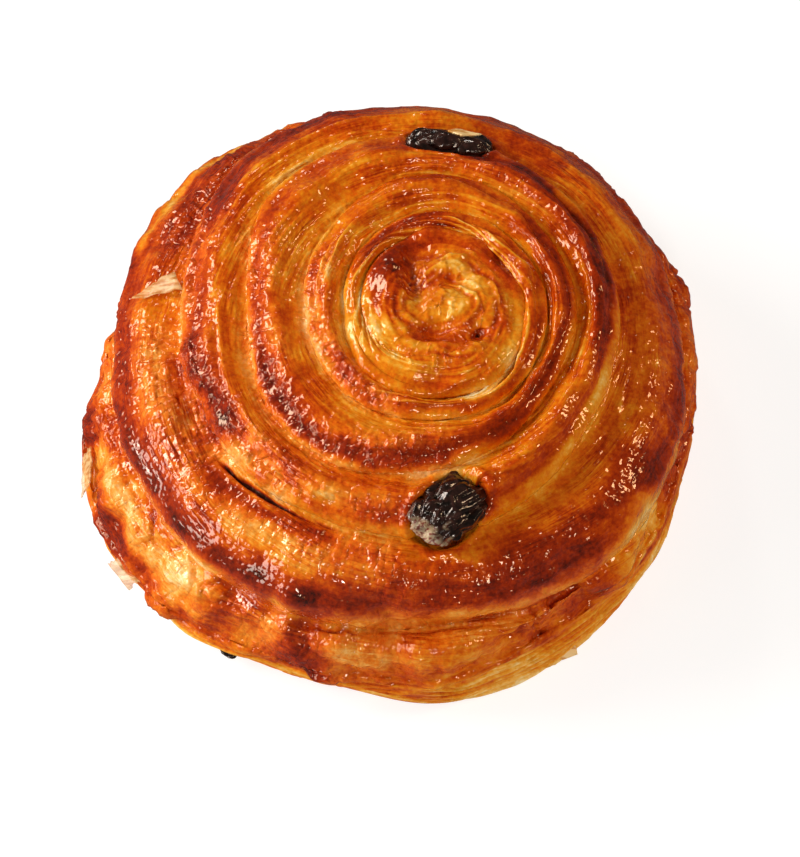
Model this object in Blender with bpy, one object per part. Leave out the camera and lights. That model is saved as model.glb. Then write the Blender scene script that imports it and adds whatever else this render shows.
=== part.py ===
# A round raisin swirl: a strip of laminated dough rolled into a low dome, baked and glazed.
# The roll opens clockwise from the knob in the middle to the loose tail at the left.
# X points right, Y points to the back, Z points up, and the flat base lies on Z = 0.
import math

import bmesh
import bpy
import numpy as np
from mathutils import Euler, Vector, noise
from mathutils.bvhtree import BVHTree

MM = 0.001

# Where the roll lies, in millimetres and degrees
TURNS = 7
TAIL_ANGLE = 160.0
KNOB_HEIGHT = 44.0

# Distance of the inner turns' crests from the middle of the knob, turn by turn.
# The eight columns start at the left and go clockwise: left, back left, back, back right,
# right, front right, front, front left.
CREST_RADIUS = (
    (12.4, 13.2, 14.0, 13.5, 13.0, 14.0, 15.0, 15.0),
    (15.0, 16.8, 18.0, 18.0, 17.4, 18.0, 18.6, 20.0),
    (21.5, 24.2, 26.0, 23.2, 22.2, 21.8, 26.4, 31.0),
    (30.6, 36.5, 34.2, 31.4, 29.2, 30.4, 35.8, 39.2),
    (42.0, 47.4, 46.6, 43.8, 41.8, 46.4, 48.0, 54.2),
)

# The same for the outermost turn, the skirt: direction in degrees, radius
SKIRT_RADIUS = (
    (180, 55.8), (160, 57.4), (140, 57.4), (120, 55.0), (100, 52.2), (80, 49.8), (60, 48.0),
    (40, 47.8), (20, 47.4), (0, 46.1), (-20, 46.2), (-40, 48.2), (-60, 50.2), (-75, 52.8),
    (-90, 55.8), (-105, 55.6), (-120, 57.4), (-135, 61.0), (-150, 63.2), (-165, 64.4),
    (-180, 61.9), (-195, 61.0), (-200, 60.8),
)

# Height of the crest along the roll: turn, height
CREST_HEIGHT = (
    (0.0, 44.0), (0.5, 43.6), (1.0, 42.6), (2.0, 43.0), (3.0, 42.4), (3.5, 41.8), (4.0, 40.0),
    (4.5, 38.8), (5.0, 34.5), (5.25, 30.5), (5.5, 29.0), (5.75, 27.5), (6.0, 24.0), (6.12, 21.5),
    (6.25, 18.0), (6.4, 17.5), (6.5, 15.0), (6.6, 14.0), (6.75, 9.5), (6.87, 5.5), (7.0, 9.0),
)

# Outer face of each turn: turn, width, drop to the groove, undercut, all in millimetres
OUTER_FACE = (
    (0.0, 0.0, 0.0, 0.0), (0.3, 0.4, 0.05, 0.0), (0.85, 0.5, 0.1, 0.0), (1.1, 1.1, 1.3, 0.0),
    (2.0, 1.2, 1.8, 0.0), (3.0, 1.5, 2.2, 0.0), (4.0, 2.0, 3.0, 0.1), (4.6, 2.2, 4.2, 0.2),
    (5.0, 2.2, 5.0, 0.3), (5.4, 1.8, 8.0, 0.9), (5.75, 1.6, 9.0, 1.3), (6.0, 1.6, 6.5, 0.9),
    (6.15, 1.2, 3.0, 0.4), (6.4, 1.0, 2.0, 0.2), (7.0, 1.0, 2.0, 0.2),
)

# How far each band swells above the straight line from its groove to its crest: turn, swell.
# A rise shape over 1 keeps a flat valley at the groove and rounds the crest.
BAND_SWELL = (
    (0.0, 0.0), (1.0, 0.1), (1.5, 0.5), (2.0, 0.9), (3.0, 1.5), (4.0, 2.0), (4.6, 2.3), (5.5, 2.6),
    (5.8, 2.6), (6.1, 1.2), (6.3, 1.2), (6.6, 2.6), (6.75, 3.6), (7.0, 2.4),
)
RISE_SHAPE = 1.5

# Radius of the flat base: direction in degrees, radius
BASE_RADIUS = (
    (0, 44.2), (45, 45.0), (90, 49.6), (135, 55.0), (160, 57.0), (180, 59.8), (195, 62.0),
    (210, 61.6), (225, 59.4), (240, 56.4), (255, 55.6), (270, 56.2), (285, 54.0), (300, 51.8),
    (315, 49.3), (340, 45.4),
)
SIDE_BULGE = 0.7

# Shape of the outer face: how far its shoulder reaches and drops, as shares of the face's width
# and drop, where its belly hangs, and how far the belly stands out once the roll leaves the knob
SHOULDER_REACH = 0.8
SHOULDER_DROP = 0.12
BELLY_DROP = 0.55
FACE_BELLY = 0.2
KNOB_EDGE = (0.9, 1.4)

# Band width that lets the swell reach its full height, and share of a turn over which the tail thins
FULL_SWELL_WIDTH = 3.5
TAIL_TAPER = 0.09

# Lumps and hollows of the skirt and bands: direction, turn, length, width, height
LUMPS = (
    ("blister at the front left", -119.0, 6.45, 10.0, 7.0, 2.2),
    ("dimple in the blister", -121.0, 6.35, 4.0, 3.5, -1.4),
    ("crinkled blob at the front", -108.0, 6.62, 9.0, 6.0, 1.8),
    ("low blister at the front", -90.0, 6.5, 8.0, 6.0, 1.2),
    ("hollow beside it", -98.0, 6.45, 5.0, 7.0, -1.2),
    ("blister at the front right", -72.0, 6.5, 9.0, 6.0, 1.0),
    ("blister at the right", -48.0, 6.55, 9.0, 5.0, 0.9),
    ("hollow at the right", -60.0, 6.5, 5.0, 5.0, -0.8),
    ("bubbly lump at the left", 196.0, 5.62, 9.0, 7.0, 1.6),
    ("swelling at the left edge", 186.0, 6.6, 8.0, 6.0, 1.2),
    ("upper bubble of the left skirt", -162.0, 6.4, 8.0, 6.0, 1.2),
    ("middle bubble of the left skirt", -148.0, 6.7, 8.0, 5.5, 1.2),
    ("lower bubble of the left skirt", -136.0, 6.45, 8.0, 6.0, 1.3),
)
LUMP_LEAN = 40.0
LUMPS_FROM_HEIGHT = (3.0, 6.0)

# Folds and clefts of the knob, seen from above: right, back, length, width, direction of the
# length, height
KNOB_FOLDS = (
    ("dark lump at the left", -7.8, 6.0, 12.0, 6.5, 94.0, 1.9),
    ("rope at the front left", -7.1, -3.8, 9.0, 5.5, -55.0, 1.2),
    ("rope along the front", -0.8, -9.8, 16.0, 5.5, -4.0, 1.5),
    ("end of the rope", 7.2, -8.2, 7.0, 5.0, 35.0, 0.9),
    ("back fold", 2.6, 8.1, 10.0, 5.0, 15.0, 1.1),
    ("dome at the right", 6.9, 0.3, 8.0, 7.0, 60.0, 1.3),
    ("swelling in the middle", 0.5, 2.0, 7.0, 4.0, 30.0, 0.7),
    ("cleft beside the dark lump", -4.4, 6.6, 10.0, 2.8, 96.0, -1.7),
    ("cleft behind the rope", -0.8, -4.0, 11.0, 2.8, -8.0, -1.4),
    ("cleft at the back", -2.7, 11.4, 6.0, 3.4, -35.0, -1.4),
    ("pit at the front right", 6.4, -5.2, 3.6, 3.0, 70.0, -2.0),
    ("cleft in front of the back fold", 3.2, 5.0, 7.0, 2.2, 20.0, -0.9),
)

# Mesh density
COLUMNS = 82
RISE_ROWS = 4
FACE_ROWS = 3
WALL_ROWS = 3
BASE_ROWS = 2

# Unevenness of the dough
WAVE_LENGTH = 17.0
WAVE_HEIGHT = 0.6
FLAT_FOOT = 12.0
SEEDS = (Vector((9.3, -1.5, -7.9)), Vector((-4.2, 6.1, 2.8)), Vector((3.7, 12.4, -5.6)))

# Raisins: centre, half sizes, tilt about X and Y and turn about Z, lean of the outline toward a
# rhombus, depth of the folds, all in millimetres and degrees
RAISIN_FRONT = {
    "centre": (1.8, -34.6, 37.0), "half": (7.0, 5.1, 3.9), "angles": (10, 6, 57), "lean": -0.16, "fold": 0.9,
}
RAISIN_BACK = {
    "centre": (2.4, 35.2, 37.2), "half": (7.9, 2.9, 3.2), "angles": (-14, 2, -5), "lean": 0.0, "fold": 0.5,
}
RAISIN_RIM = {
    "centre": (-36.4, -47.3, 3.2), "half": (1.7, 1.3, 1.1), "angles": (10, 20, -30), "lean": 0.0, "fold": 0.3,
}
RAISIN_SQUARENESS = 2.8
RAISIN_GAP = 0.35
FOLD_LENGTH = 6.0
FOLD_WIDTH = 2.6
FOLD_SHARPNESS = 3.0
FOLD_MIDDLE = 0.6

# Loose flakes of crust: start, end, width at each end, rise above the dough, fixed height if any
FLAKES = (
    ("leaf across the left groove", (-53.5, 10.8), (-44.6, 12.6), 0.8, 4.4, 1.3, None),
    ("upper shard of the skirt", (-18.2, -50.4), (-12.0, -51.4), 1.0, 1.0, 0.8, None),
    ("lower shard of the skirt", (-16.6, -52.6), (-13.6, -51.0), 0.9, 0.9, 0.7, None),
    ("flap at the front right foot", (22.0, -42.5), (24.6, -47.4), 3.0, 3.6, 0.0, 2.4),
    ("pale leaf at the left edge", (-57.0, -13.0), (-62.6, -15.6), 4.0, 5.5, 0.0, 5.0),
    ("pale leaf at the lower left edge", (-50.0, -30.0), (-54.8, -34.4), 3.0, 4.0, 0.0, 4.2),
)
FLAKE_THICKNESS = 0.8
FLAKE_CELLS = 6


def smooth_curve(stations, x, column=1):
    """Smooth curve through the stations, read at x."""
    t = np.array([row[0] for row in stations])
    v = np.array([row[column] for row in stations])
    x = np.clip(x, t[0], t[-1])
    step = np.diff(t)
    slope = np.diff(v) / step
    tangent = np.zeros_like(v)
    tangent[1:-1] = (slope[:-1] * step[1:] + slope[1:] * step[:-1]) / (step[:-1] + step[1:])
    tangent[0], tangent[-1] = slope[0], slope[-1]
    i = np.clip(np.searchsorted(t, x, side="right") - 1, 0, len(t) - 2)
    u = (x - t[i]) / step[i]
    left = (2 * u**3 - 3 * u**2 + 1) * v[i] + (u**3 - 2 * u**2 + u) * step[i] * tangent[i]
    right = (3 * u**2 - 2 * u**3) * v[i + 1] + (u**3 - u**2) * step[i] * tangent[i + 1]
    return left + right


def fade(low, high, x):
    u = np.clip((x - low) / (high - low), 0.0, 1.0)
    return u * u * (3 - 2 * u)


def crest_stations():
    """Turn and radius of every crest station, the knob's middle first."""
    first = 1.0 - (180.0 - TAIL_ANGLE) / 360.0
    rows = [(0.0, 0.0), (0.5, 7.5)]
    for turn, row in enumerate(CREST_RADIUS):
        rows += [(first + turn + eighth / 8, radius) for eighth, radius in enumerate(row)]
    first += len(CREST_RADIUS)
    rows += [(first + (180 - direction) / 360, radius) for direction, radius in SKIRT_RADIUS]
    return rows


CREST = crest_stations()
WRAPPED_BASE = [(a + lap, r) for lap in (-360.0, 0.0, 360.0) for a, r in BASE_RADIUS]


def crest_point(turn):
    return smooth_curve(CREST, turn), smooth_curve(CREST_HEIGHT, turn)


def outer_face(turn, rows):
    """Points of the face that falls from a crest to the groove outside it, and that groove."""
    radius, height = crest_point(turn)
    width, drop, under = (smooth_curve(OUTER_FACE, turn, c) for c in (1, 2, 3))
    belly = 1.0 + FACE_BELLY * fade(*KNOB_EDGE, turn)
    corners = (
        (radius, height),
        (radius + SHOULDER_REACH * width, height - SHOULDER_DROP * drop),
        (radius + belly * width, height - BELLY_DROP * drop),
        (radius + width - under, height - drop),
    )
    points = []
    for i in range(rows + 1):
        s = i / rows
        weights = ((1 - s) ** 3, 3 * (1 - s) ** 2 * s, 3 * (1 - s) * s**2, s**3)
        points.append([sum(w * corner[axis] for w, corner in zip(weights, corners)) for axis in (0, 1)])
    return points[:-1], points[-1]


def profile(share):
    """Rows of (radius, height) from the knob's middle to the base's middle, at one share of a turn."""
    angle = np.radians(TAIL_ANGLE - 360.0 * share)
    rows = []
    for lap in range(TURNS):
        turn = lap + share
        crest = crest_point(turn)
        groove = outer_face(turn - 1, FACE_ROWS)[1] if lap else (0 * share, 0 * share + KNOB_HEIGHT)
        swell = smooth_curve(BAND_SWELL, turn) * fade(0.0, FULL_SWELL_WIDTH, crest[0] - groove[0])
        band = []
        for i in range(RISE_ROWS):
            s = i / RISE_ROWS
            radius = groove[0] + (crest[0] - groove[0]) * s
            height = groove[1] + (crest[1] - groove[1]) * s + swell * math.sin(math.pi * s**RISE_SHAPE)
            band.append((radius, height))
        face, edge = outer_face(turn, FACE_ROWS)
        band += face
        if lap == TURNS - 1:
            keep = 1 - fade(TURNS - TAIL_TAPER, TURNS, turn)
            band = [tuple(g + (p - g) * keep for g, p in zip(groove, point)) for point in band]
            edge = tuple(g + (p - g) * keep for g, p in zip(groove, edge))
        rows += band
    base = smooth_curve(WRAPPED_BASE, np.degrees(angle))
    for i in range(WALL_ROWS):
        s = i / WALL_ROWS
        radius = edge[0] + (base - edge[0]) * fade(0, 1, s) + SIDE_BULGE * math.sin(math.pi * s)
        rows.append((radius, edge[1] * (1 - s)))
    for i in range(BASE_ROWS):
        rows.append((base * (1 - i / BASE_ROWS), 0 * base))
    return angle, np.array(rows)


def lump_push(x, y):
    """How far the named lumps and hollows push points outward and upward; those of the skirt lean outward."""
    out, up = np.zeros_like(x), np.zeros_like(x)
    for _, right, back, length, width, lie, height in KNOB_FOLDS:
        angle = math.radians(lie)
        along = (x - right) * math.cos(angle) + (y - back) * math.sin(angle)
        across = (y - back) * math.cos(angle) - (x - right) * math.sin(angle)
        up += height * np.exp(-((2 * along / length) ** 2) - (2 * across / width) ** 2)
    for _, direction, at_turn, length, width, height in LUMPS:
        angle = math.radians(direction)
        share = ((TAIL_ANGLE - direction) / 360.0) % 1.0
        lap = math.floor(at_turn)
        outer = float(crest_point(np.array(lap + share))[0])
        inner = float(crest_point(np.array(lap - 1 + share))[0]) if lap else 0.0
        radius = inner + (outer - inner) * (at_turn - lap)
        right, back = x - radius * math.cos(angle), y - radius * math.sin(angle)
        along = back * math.cos(angle) - right * math.sin(angle)
        across = right * math.cos(angle) + back * math.sin(angle)
        push = height * np.exp(-((2 * along / length) ** 2) - (2 * across / width) ** 2)
        lean = math.radians(LUMP_LEAN) * fade(5.8, 6.2, at_turn)
        out += push * math.sin(lean)
        up += push * math.cos(lean)
    return out, up


def add_object(name, points, faces, material):
    mesh = bpy.data.meshes.new(name)
    mesh.from_pydata([tuple(p) for p in points], [], faces)
    mesh.materials.append(material)
    made = bpy.data.objects.new(name, mesh)
    bpy.context.scene.collection.objects.link(made)
    return made


def add_material(name, colour, roughness):
    made = bpy.data.materials.new(name)
    made.use_nodes = True
    shader = made.node_tree.nodes["Principled BSDF"]
    shader.inputs["Base Color"].default_value = (*colour, 1.0)
    shader.inputs["Roughness"].default_value = roughness
    shader.inputs["Metallic"].default_value = 0.0
    return made


def uneven(point):
    """The slow unevenness of hand-rolled dough, fading out toward the flat base."""
    at = Vector(point) / WAVE_LENGTH
    size = WAVE_HEIGHT * float(fade(0.0, FLAT_FOOT, point[2]))
    return [p + noise.noise(at + seed) * size for p, seed in zip(point, SEEDS)]


def build_swirl(material):
    """The rolled dough, one closed solid: bands and grooves, side wall and flat base."""
    share = np.arange(COLUMNS) / COLUMNS
    angle, rows = profile(share)
    count = len(rows)
    block = RISE_ROWS + FACE_ROWS
    top = block * TURNS
    radius, z = rows[:, 0].copy(), rows[:, 1].copy()
    out, up = lump_push(radius[:top] * np.cos(angle), radius[:top] * np.sin(angle))
    low = fade(*LUMPS_FROM_HEIGHT, z[:top])
    radius[:top] += out * low
    z[:top] += up * low
    points = np.stack([radius * np.cos(angle), radius * np.sin(angle), z], axis=-1).reshape(-1, 3)
    points = np.concatenate([points, [[0, 0, KNOB_HEIGHT], [0, 0, 0]]])
    points = np.array([uneven([float(c) for c in point]) for point in points])

    index = np.arange(count * COLUMNS).reshape(count, COLUMNS)
    middle_top = count * COLUMNS
    middle_base = middle_top + 1
    index[0, :] = middle_top
    index[: block + 1, 0] = middle_top

    def at(i, j):
        if i == count:
            return middle_base
        if j < COLUMNS:
            return int(index[i, j])
        if i >= top:
            return int(index[i, 0])
        return int(index[min(i + block, top), 0])

    faces = []
    for i in range(count):
        for j in range(COLUMNS):
            corners = []
            for corner in (at(i, j), at(i, j + 1), at(i + 1, j + 1), at(i + 1, j)):
                if corner not in corners:
                    corners.append(corner)
            if len(corners) > 2:
                faces.append(corners)
    made = add_object("pastry", points * MM, faces, material)
    tidy(made)
    return made


def tidy(made):
    """Drops loose points, splits faces into triangles and turns every face outward."""
    mesh = bmesh.new()
    mesh.from_mesh(made.data)
    bmesh.ops.delete(mesh, geom=[v for v in mesh.verts if not v.link_faces], context="VERTS")
    bmesh.ops.triangulate(mesh, faces=mesh.faces)
    bmesh.ops.recalc_face_normals(mesh, faces=mesh.faces)
    mesh.to_mesh(made.data)
    mesh.free()


def build_flake(spec, ground, material):
    """A thin leaf of crust, laid on the dough or held out from its side at a fixed height."""
    _, start, end, width_start, width_end, rise, fixed = spec
    start, end = Vector(start), Vector(end)
    side = (end - start).orthogonal().normalized()
    upper, lower = [], []
    for i in range(FLAKE_CELLS + 1):
        s = i / FLAKE_CELLS
        middle = start.lerp(end, s)
        half = (width_start + (width_end - width_start) * s) / 2
        for j in (-1, 0, 1):
            ragged = noise.noise(Vector((i * 1.7, j * 2.3, start.x))) * 0.6
            at = middle + side * j * half * (1 + ragged)
            if fixed is None:
                hit = ground.ray_cast(Vector((at.x, at.y, 100.0)) * MM, Vector((0, 0, -1)))[0]
                height = hit.z / MM + rise * math.sin(math.pi * (0.15 + 0.7 * s))
                depth = rise + FLAKE_THICKNESS
            else:
                height = fixed + ragged
                depth = FLAKE_THICKNESS
            upper.append((at.x, at.y, height))
            lower.append((at.x, at.y, height - depth))
    points = [Vector(p) * MM for p in upper + lower]
    below = len(upper)
    faces = []
    for i in range(FLAKE_CELLS):
        for j in (0, 1):
            a = 3 * i + j
            faces.append((a, a + 1, a + 4, a + 3))
            faces.append((below + a, below + a + 3, below + a + 4, below + a + 1))
        for a, b in ((3 * i, 3 * i + 3), (3 * i + 5, 3 * i + 2)):
            faces.append((a, b, below + b, below + a))
    last = 3 * FLAKE_CELLS
    for a, b in ((1, 0), (2, 1), (last, last + 1), (last + 1, last + 2)):
        faces.append((a, b, below + b, below + a))
    made = add_object("flake", points, faces, material)
    tidy(made)
    return made


def join_flakes(body, material):
    """Joins every flake to the dough in one union."""
    ground = BVHTree.FromObject(body, bpy.context.evaluated_depsgraph_get())
    bits = bpy.data.collections.new("flakes")
    for spec in FLAKES:
        flake = build_flake(spec, ground, material)
        bits.objects.link(flake)
    change = body.modifiers.new("flakes", "BOOLEAN")
    change.operation = "UNION"
    change.solver = "EXACT"
    change.operand_type = "COLLECTION"
    change.collection = bits
    bpy.context.view_layer.objects.active = body
    bpy.ops.object.modifier_apply(modifier=change.name)
    for flake in list(bits.objects):
        bpy.data.objects.remove(flake, do_unlink=True)


def build_raisin(name, spec, detail, material, swell=0.0):
    """A shrivelled raisin: a flattened, four-cornered ball with folds along its length."""
    mesh = bmesh.new()
    bmesh.ops.create_icosphere(mesh, subdivisions=detail, radius=1.0)
    turn = Euler([math.radians(a) for a in spec["angles"]]).to_matrix()
    half = spec["half"]
    small = half[0] / RAISIN_FRONT["half"][0]
    for vert in mesh.verts:
        unit = vert.co.normalized()
        power = RAISIN_SQUARENESS
        flat = (abs(unit.x) ** power + abs(unit.y) ** power) ** (1 / power)
        boxy = math.hypot(unit.x, unit.y) / max(flat, 1e-6)
        point = Vector((unit.x * half[0] * boxy, unit.y * half[1] * boxy, unit.z * half[2]))
        spread = Vector((point.x / FOLD_LENGTH, point.y / FOLD_WIDTH, point.z / FOLD_WIDTH)) / small
        fold = min(FOLD_SHARPNESS * abs(noise.noise(spread + Vector(spec["centre"]))), 1.0)
        outward = Vector([c / h for c, h in zip(unit, half)]).normalized()
        point += outward * (swell + spec["fold"] * (fold - FOLD_MIDDLE))
        point.y += spec["lean"] * point.x
        vert.co = (turn @ point + Vector(spec["centre"])) * MM
    data = bpy.data.meshes.new(name)
    mesh.to_mesh(data)
    mesh.free()
    data.materials.append(material)
    made = bpy.data.objects.new(name, data)
    bpy.context.scene.collection.objects.link(made)
    return made


def cut_socket(body, cutter):
    """Cuts the hollow that a raisin lies in."""
    change = body.modifiers.new("socket", "BOOLEAN")
    change.operation = "DIFFERENCE"
    change.solver = "EXACT"
    change.object = cutter
    bpy.context.view_layer.objects.active = body
    bpy.ops.object.modifier_apply(modifier=change.name)
    bpy.data.objects.remove(cutter, do_unlink=True)


def centre_all(objects):
    """Moves everything so that the whole lies centred over the origin, on Z = 0."""
    points = np.array([tuple(v.co) for o in objects for v in o.data.vertices])
    low, high = points.min(axis=0), points.max(axis=0)
    shift = Vector((-(low[0] + high[0]) / 2, -(low[1] + high[1]) / 2, -low[2]))
    for made in objects:
        for vert in made.data.vertices:
            vert.co += shift


def main():
    for old in list(bpy.data.objects):
        bpy.data.objects.remove(old, do_unlink=True)
    crust = add_material("glazed_crust", (0.52, 0.17, 0.03), 0.3)
    raisin = add_material("raisin_skin", (0.02, 0.011, 0.009), 0.35)
    body = build_swirl(crust)
    join_flakes(body, crust)
    solids = [body]
    for name, spec, detail in (
        ("raisin_front", RAISIN_FRONT, 4),
        ("raisin_back", RAISIN_BACK, 4),
        ("raisin_rim", RAISIN_RIM, 2),
    ):
        cut_socket(body, build_raisin("cutter", spec, detail, raisin, RAISIN_GAP))
        solids.append(build_raisin(name, spec, detail, raisin))
    centre_all(solids)


main()
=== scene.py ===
import math

import bmesh
import bpy
import numpy as np
from mathutils import Euler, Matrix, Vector, noise


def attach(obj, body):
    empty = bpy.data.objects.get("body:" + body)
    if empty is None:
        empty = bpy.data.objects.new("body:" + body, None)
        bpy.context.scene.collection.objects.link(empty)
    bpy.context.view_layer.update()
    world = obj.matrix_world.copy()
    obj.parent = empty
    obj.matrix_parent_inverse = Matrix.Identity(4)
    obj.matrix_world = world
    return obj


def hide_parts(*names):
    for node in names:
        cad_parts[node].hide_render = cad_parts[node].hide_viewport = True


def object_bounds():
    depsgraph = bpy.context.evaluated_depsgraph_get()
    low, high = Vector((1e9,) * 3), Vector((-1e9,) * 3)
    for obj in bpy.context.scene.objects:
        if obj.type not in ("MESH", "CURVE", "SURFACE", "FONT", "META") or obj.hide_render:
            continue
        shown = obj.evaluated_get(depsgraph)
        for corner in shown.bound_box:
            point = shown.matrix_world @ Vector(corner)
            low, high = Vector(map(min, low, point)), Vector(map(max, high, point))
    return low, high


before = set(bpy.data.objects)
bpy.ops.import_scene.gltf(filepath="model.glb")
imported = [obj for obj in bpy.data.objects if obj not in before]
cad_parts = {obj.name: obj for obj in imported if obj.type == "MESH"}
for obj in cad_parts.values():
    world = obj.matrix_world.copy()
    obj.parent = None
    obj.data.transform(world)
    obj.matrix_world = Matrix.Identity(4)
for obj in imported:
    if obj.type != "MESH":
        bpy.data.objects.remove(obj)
cadBox = [list(corner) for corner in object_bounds()]
mm = 0.001

# Sizes are in millimetres about the knob's middle, directions in degrees, turns counted outward.
swirl = {
    "knobAt": (8.36, 2.37),   # where the knob's middle stands in the frame
    "turns": 7,
    "tailAngle": 160.0,       # direction of the loose end
    "knobHeight": 44.0,
    "crestRadius": (          # left, back left, back, back right, right, front right, front, front left
        (12.4, 13.2, 14.0, 13.5, 13.0, 14.0, 15.0, 15.0),
        (15.0, 16.8, 18.0, 18.0, 17.4, 18.0, 18.6, 20.0),
        (21.5, 24.2, 26.0, 23.2, 22.2, 21.8, 26.4, 31.0),
        (30.6, 36.5, 34.2, 31.4, 29.2, 30.4, 35.8, 39.2),
        (42.0, 47.4, 46.6, 43.8, 41.8, 46.4, 48.0, 54.2),
    ),
    "skirtRadius": (          # outermost turn: direction, radius
        (180, 55.8), (160, 57.4), (140, 57.4), (120, 55.0), (100, 52.2), (80, 49.8), (60, 48.0),
        (40, 47.8), (20, 47.4), (0, 46.1), (-20, 46.2), (-40, 48.2), (-60, 50.2), (-75, 52.8),
        (-90, 55.8), (-105, 55.6), (-120, 57.4), (-135, 61.0), (-150, 63.2), (-165, 64.4),
        (-180, 61.9), (-195, 61.0), (-200, 60.8),
    ),
    "crestHeight": (          # turn, height
        (0.0, 44.0), (0.5, 43.6), (1.0, 42.6), (2.0, 43.0), (3.0, 42.4), (3.5, 41.8), (4.0, 40.0),
        (4.5, 38.8), (5.0, 34.5), (5.25, 30.5), (5.5, 29.0), (5.75, 27.5), (6.0, 24.0), (6.12, 21.5),
        (6.25, 18.0), (6.4, 17.5), (6.5, 15.0), (6.6, 14.0), (6.75, 9.5), (6.87, 5.5), (7.0, 9.0),
    ),
    "outerFace": (            # turn, width, drop, undercut
        (0.0, 0.0, 0.0, 0.0), (0.3, 0.4, 0.05, 0.0), (0.85, 0.5, 0.1, 0.0), (1.1, 1.1, 1.3, 0.0),
        (2.0, 1.2, 1.8, 0.0), (3.0, 1.5, 2.2, 0.0), (4.0, 2.0, 3.0, 0.1), (4.6, 2.2, 4.2, 0.2),
        (5.0, 2.2, 5.0, 0.3), (5.4, 1.8, 8.0, 0.9), (5.75, 1.6, 9.0, 1.3), (6.0, 1.6, 6.5, 0.9),
        (6.15, 1.2, 3.0, 0.4), (6.4, 1.0, 2.0, 0.2), (7.0, 1.0, 2.0, 0.2),
    ),
    "bandSwell": (            # turn, swell over the straight line from groove to crest
        (0.0, 0.0), (1.0, 0.1), (1.5, 0.5), (2.0, 0.9), (3.0, 1.5), (4.0, 2.0), (4.6, 2.3), (5.5, 2.6),
        (5.8, 2.6), (6.1, 1.2), (6.3, 1.2), (6.6, 2.6), (6.75, 3.6), (7.0, 2.4),
    ),
    "baseRadius": (           # direction, radius
        (0, 44.2), (45, 45.0), (90, 49.6), (135, 55.0), (160, 57.0), (180, 59.8), (195, 62.0),
        (210, 61.6), (225, 59.4), (240, 56.4), (255, 55.6), (270, 56.2), (285, 54.0), (300, 51.8),
        (315, 49.3), (340, 45.4),
    ),
    "riseShape": 1.5,         # over 1 keeps a flat valley at the groove and rounds the crest
    "sideBulge": 0.7,
    "lumps": (                # direction, turn, length, width, height
        (-119.0, 6.45, 10.0, 7.0, 2.2), (-121.0, 6.35, 4.0, 3.5, -1.4),
        (-108.0, 6.62, 9.0, 6.0, 1.8), (-90.0, 6.5, 8.0, 6.0, 1.2),
        (-98.0, 6.45, 5.0, 7.0, -1.2), (-72.0, 6.5, 9.0, 6.0, 1.0),
        (-48.0, 6.55, 9.0, 5.0, 0.9), (-60.0, 6.5, 5.0, 5.0, -0.8),
        (196.0, 5.62, 9.0, 7.0, 1.6), (186.0, 6.6, 8.0, 6.0, 1.2), (-162.0, 6.4, 8.0, 6.0, 1.2),
        (-148.0, 6.7, 8.0, 5.5, 1.2), (-136.0, 6.45, 8.0, 6.0, 1.3),
    ),
    "knobFolds": (            # right, back, length, width, direction of the length, height
        (-7.8, 6, 12, 6.5, 94, 1.9), (-7.1, -3.8, 9, 5.5, -55, 1.2), (-0.8, -9.8, 16, 5.5, -4, 1.5),
        (7.2, -8.2, 7, 5, 35, 0.9), (2.6, 8.1, 10, 5, 15, 1.1), (6.9, 0.3, 8, 7, 60, 1.3),
        (0.5, 2, 7, 4, 30, 0.7), (-4.4, 6.6, 10, 2.8, 96, -1.7), (-0.8, -4, 11, 2.8, -8, -1.4),
        (-2.7, 11.4, 6, 3.4, -35, -1.4), (6.4, -5.2, 3.6, 3, 70, -2), (3.2, 5, 7, 2.2, 20, -0.9),
    ),
    "lumpLean": 40.0,
    "lumpFoot": (3.0, 6.0),   # heights between which the lumps come in
    "knobEdge": (10.5, 13.0),
    "fineTurns": (2.4, 3.6),  # turns over which the roll's layers get coarser
    "columns": 720,
    "riseRows": 30,
    "faceRows": 11,
    "wallRows": 40,
    "baseRows": 3,
    "waveLength": 17.0,
    "waveHeight": 0.6,
    "waveSeeds": ((9.3, -1.5, -7.9), (-4.2, 6.1, 2.8), (3.7, 12.4, -5.6)),
}


def smoothCurve(stations, x, column=1):
    t = np.array([row[0] for row in stations], float)
    v = np.array([row[column] for row in stations], float)
    x = np.clip(x, t[0], t[-1])
    step = np.diff(t)
    slope = np.diff(v) / step
    tangent = np.zeros_like(v)
    tangent[1:-1] = (slope[:-1] * step[1:] + slope[1:] * step[:-1]) / (step[:-1] + step[1:])
    tangent[0], tangent[-1] = slope[0], slope[-1]
    i = np.clip(np.searchsorted(t, x, side="right") - 1, 0, len(t) - 2)
    u = (x - t[i]) / step[i]
    left = (2 * u**3 - 3 * u**2 + 1) * v[i] + (u**3 - 2 * u**2 + u) * step[i] * tangent[i]
    right = (3 * u**2 - 2 * u**3) * v[i + 1] + (u**3 - u**2) * step[i] * tangent[i + 1]
    return left + right


def fade(low, high, x):
    u = np.clip((x - low) / (high - low), 0.0, 1.0)
    return u * u * (3 - 2 * u)


# A smooth bump of height 1 at 0
def hump(x, width):
    return np.exp(-((x / width) ** 2))


# Rises from 0 to 1 at its peak and drops behind it
def sawtooth(phase, peak):
    return np.where(phase < peak, phase / peak, (1 - phase) / (1 - peak))


def crestStations():
    first = 1.0 - (180.0 - swirl["tailAngle"]) / 360.0
    rows = [(0.0, 0.0), (0.5, 7.5)]
    for turn, row in enumerate(swirl["crestRadius"]):
        rows += [(first + turn + eighth / 8, radius) for eighth, radius in enumerate(row)]
    first += len(swirl["crestRadius"])
    rows += [(first + (180 - direction) / 360, radius) for direction, radius in swirl["skirtRadius"]]
    return rows


crestRadii = crestStations()
baseRadii = [(a + lap, r) for lap in (-360.0, 0.0, 360.0) for a, r in swirl["baseRadius"]]


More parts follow.
